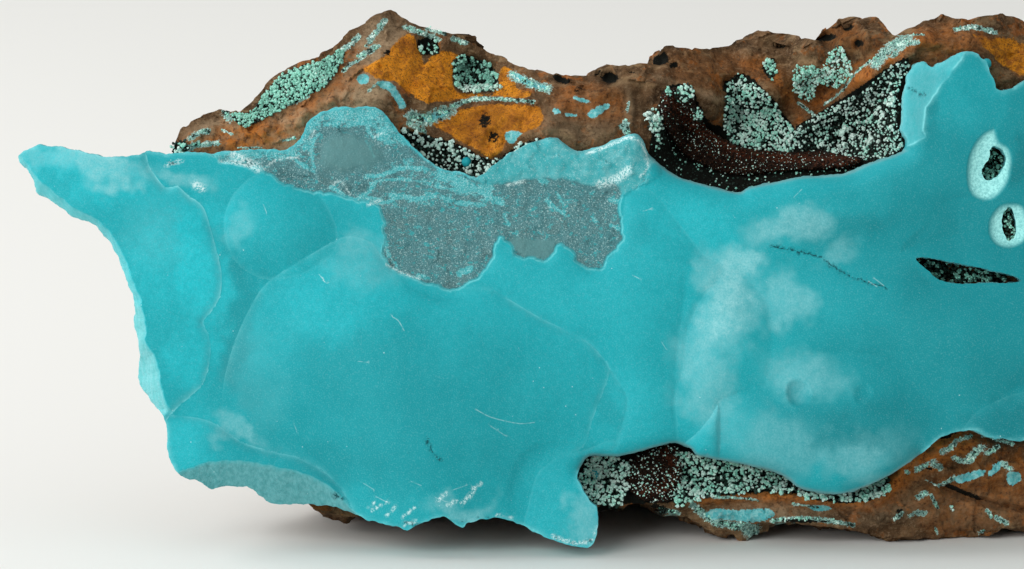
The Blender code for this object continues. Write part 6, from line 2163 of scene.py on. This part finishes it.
GOETHITE = [
    GoethiteGrowth("goethite_velvet", "goethite_roll", [
        (66.2, 47.2), (66.6, 48.1), (68.8, 48.5), (69.6, 47.8), (69.8, 46.6), (70.5, 46.1),
        (70.5, 45.2), (71.3, 44.2), (74.5, 42.5), (80, 41.9), (82.5, 42.1), (84.5, 41.6),
        (86.4, 41.1), (85, 40.2), (79, 39.9), (73.6, 39.6), (69, 41.4), (66.4, 44.8),
    ], [
        (67, 47.4), (67.8, 46.2), (71.2, 43.6), (76, 41.6), (85.4, 41),
    ], 2.6, 1.3, 0.28, 0.065),
    GoethiteGrowth("goethite_ball", "goethite_lump", [
        (62.6, 9.4), (63.2, 10.9), (66.2, 12.3), (67.8, 12.2), (68.4, 10.6), (68.4, 8.4),
        (67.8, 7.1), (66, 6.5), (64, 6.9), (62.8, 8.1),
    ], [
        (66.6, 11.4), (67.6, 10), (67, 8.4), (64.6, 7.6),
    ], 2.2, 1.8, 0.24, 0.105),
]
BEADS = [
    # middle u, middle v, radius and lift off the rock, in millimetres
    (46.6, 40.8, 0.5, 0.9), (59.3, 9.2, 0.65, 0.6), (99, 50.7, 0.5, 0.4),
]


@dataclass
class VeinGrains:
    """Tiny crystals that stand out of the veins of the rock."""

    veins: Lines
    spacing: float = 0.13
    size: float = 0.075
    seed: int = 21

    def build(self, site: Site) -> None:
        """Builds the crystals.

        Args:
            site: Where they grow.
        """
        rng = np.random.default_rng(self.seed)
        places = []
        for corners, width in self.veins:
            line = rounded_line(corners, False, 0.1)
            count = int(len(line) * 0.1 * 2.6 * width / self.spacing ** 2) + 2
            chosen = line[rng.integers(0, len(line), count)]
            places.append(chosen + rng.normal(0.0, 0.50 * width, (count, 2)))
        spots = np.vstack(places)
        spots = spots[waves(spots, 0.6, 111, 3) + 0.4 * rng.random(len(spots)) > 0.14]
        radius = self.size * (0.5 + 1.4 * rng.random(len(spots)) ** 3)
        centres = np.column_stack([spots, site.rock.front(spots) + 0.2 * radius])
        tone = 0.38 + 1.1 * waves(spots, 0.9, 112, 2) + rng.uniform(-0.4, 0.4, len(spots))
        grains = Granules("vein_grains", "green_crystal", site.crystal, 0.3)
        grains.build(site.face, centres, radius, {"grain": np.clip(tone, 0.0, 1.0)}, rng)


@dataclass
class Beads:
    """Small turquoise balls that sit among the crystals."""

    places: Spots
    seed: int = 12

    def build(self, site: Site) -> None:
        """Builds the balls.

        Args:
            site: Where they sit.
        """
        places = np.array(self.places)
        level = site.rock.front(places[:, :2]) + places[:, 3]
        beads = Granules("rosasite_beads", "rosasite", site.rosasite, 0.05, (), 3, 60.0)
        beads.build(site.face, np.column_stack([places[:, :2], level]), places[:, 2], {},
                    np.random.default_rng(self.seed))


@dataclass
class Studio:
    """The pale floor, the soft lights and the camera."""

    face: FaceFrame
    floor_shade: Colour = (0.80, 0.80, 0.775)
    floor_light: Colour = (0.82, 0.82, 0.80)

    def floor(self) -> None:
        """Lays the pale floor."""
        bpy.ops.mesh.primitive_plane_add(size=12.0, location=(0.0, 0.0, 0.0))
        floor = bpy.context.object
        floor.name = "studio_floor"
        p = Palette("studio_floor")
        shade = p.between(p.noise(900.0, 1.0), 0.3, 0.7)
        colour = p.mix(shade, self.floor_shade, self.floor_light)
        floor.data.materials.append(p.finish(colour, 0.9, p.bump(shade, 0.01), 0.1))

    def light(self, name: str, place: tuple[float, float, float], size: float,
              power: float, colour: Colour) -> None:
        """Hangs a soft square light aimed at the specimen.

        Args:
            name: Name of the light.
            place: Where it hangs, in metres.
            size: Width of the light, in metres.
            power: Its power, in watts.
            colour: Its colour.
        """
        data = bpy.data.lights.new(name, "AREA")
        data.energy = power
        data.size = size
        data.color = colour
        lamp = bpy.data.objects.new(name, data)
        bpy.context.scene.collection.objects.link(lamp)
        lamp.location = place
        aim = Vector((0.0, 0.0, 0.03)) - Vector(place)
        lamp.rotation_euler = aim.to_track_quat("-Z", "Y").to_euler()

    def camera(self) -> None:
        """Places the camera square to the crust's face."""
        data = bpy.data.cameras.new("camera")
        data.sensor_width = 36.0
        data.lens = data.sensor_width * VIEW_DISTANCE / IMAGE_WIDTH_MM
        data.clip_start = 0.05
        camera = bpy.data.objects.new("camera", data)
        bpy.context.scene.collection.objects.link(camera)
        camera.location = self.face.to_world(np.array([[*FACE_MIDDLE, VIEW_DISTANCE]]))[0]
        camera.rotation_euler = (math.radians(90.0 - LEAN_DEG), 0.0, 0.0)
        bpy.context.scene.camera = camera

    def build(self) -> None:
        """Sets up the whole studio."""
        self.floor()
        self.light("key_light", (-1.65, -2.52, 1.34), 1.80, 62.0, (1.0, 0.995, 0.98))
        self.light("side_light", (-0.60, 0.12, 0.42), 0.60, 4.1, (1.0, 1.0, 0.99))
        world = bpy.data.worlds.new("soft_room")
        bpy.context.scene.world = world
        world.use_nodes = True
        sky = world.node_tree.nodes["Background"]
        sky.inputs["Color"].default_value = (1.0, 1.0, 0.99, 1.0)
        sky.inputs["Strength"].default_value = 0.50
        bpy.context.scene.view_settings.view_transform = "Standard"
        self.camera()
        LOG.info("studio: floor, two lights and camera")


def face_frame(form: CrustForm) -> FaceFrame:
    """Finds where the drawing of the face stands, from the box of the crust's solid.

    Args:
        form: The shape of the crust.

    Returns:
        The place of the face.
    """
    edge = np.array(CRUST_OUTLINE)
    drawn = FaceFrame((0.0, 0.0, 0.0)).to_world(np.column_stack([edge, form.back(edge)]))
    low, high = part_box("rosasite_crust")
    x, y = low[0] - drawn[:, 0].min(), high[1] - drawn[:, 1].max()
    return FaceFrame((x, y, BASE_BELOW_MIDDLE * MM))


def main() -> None:
    """Builds every piece in order."""
    logging.basicConfig(level=logging.INFO, format="%(message)s")
    form = CrustForm()
    face = face_frame(form)
    LOG.info("face stands at %s", face.shift)
    rock = RockForm(form)
    rosasite = RosasiteFinish().make()
    RosasiteCrust(face, form).build(rosasite)
    LimoniteMatrix(face, rock).build()
    site = Site(face, rock, rosasite, GoethiteFinish().make(), CrystalFinish().make())
    for growth in GOETHITE:
        growth.build(site)
    VeinGrains(VEINS).build(site)
    Beads(BEADS).build(site)
    for index, bed in enumerate(CRYSTAL_BEDS):
        bed.build(site, 200 + 10 * index)
    Studio(face).build()


if __name__ == "__main__":
    main()
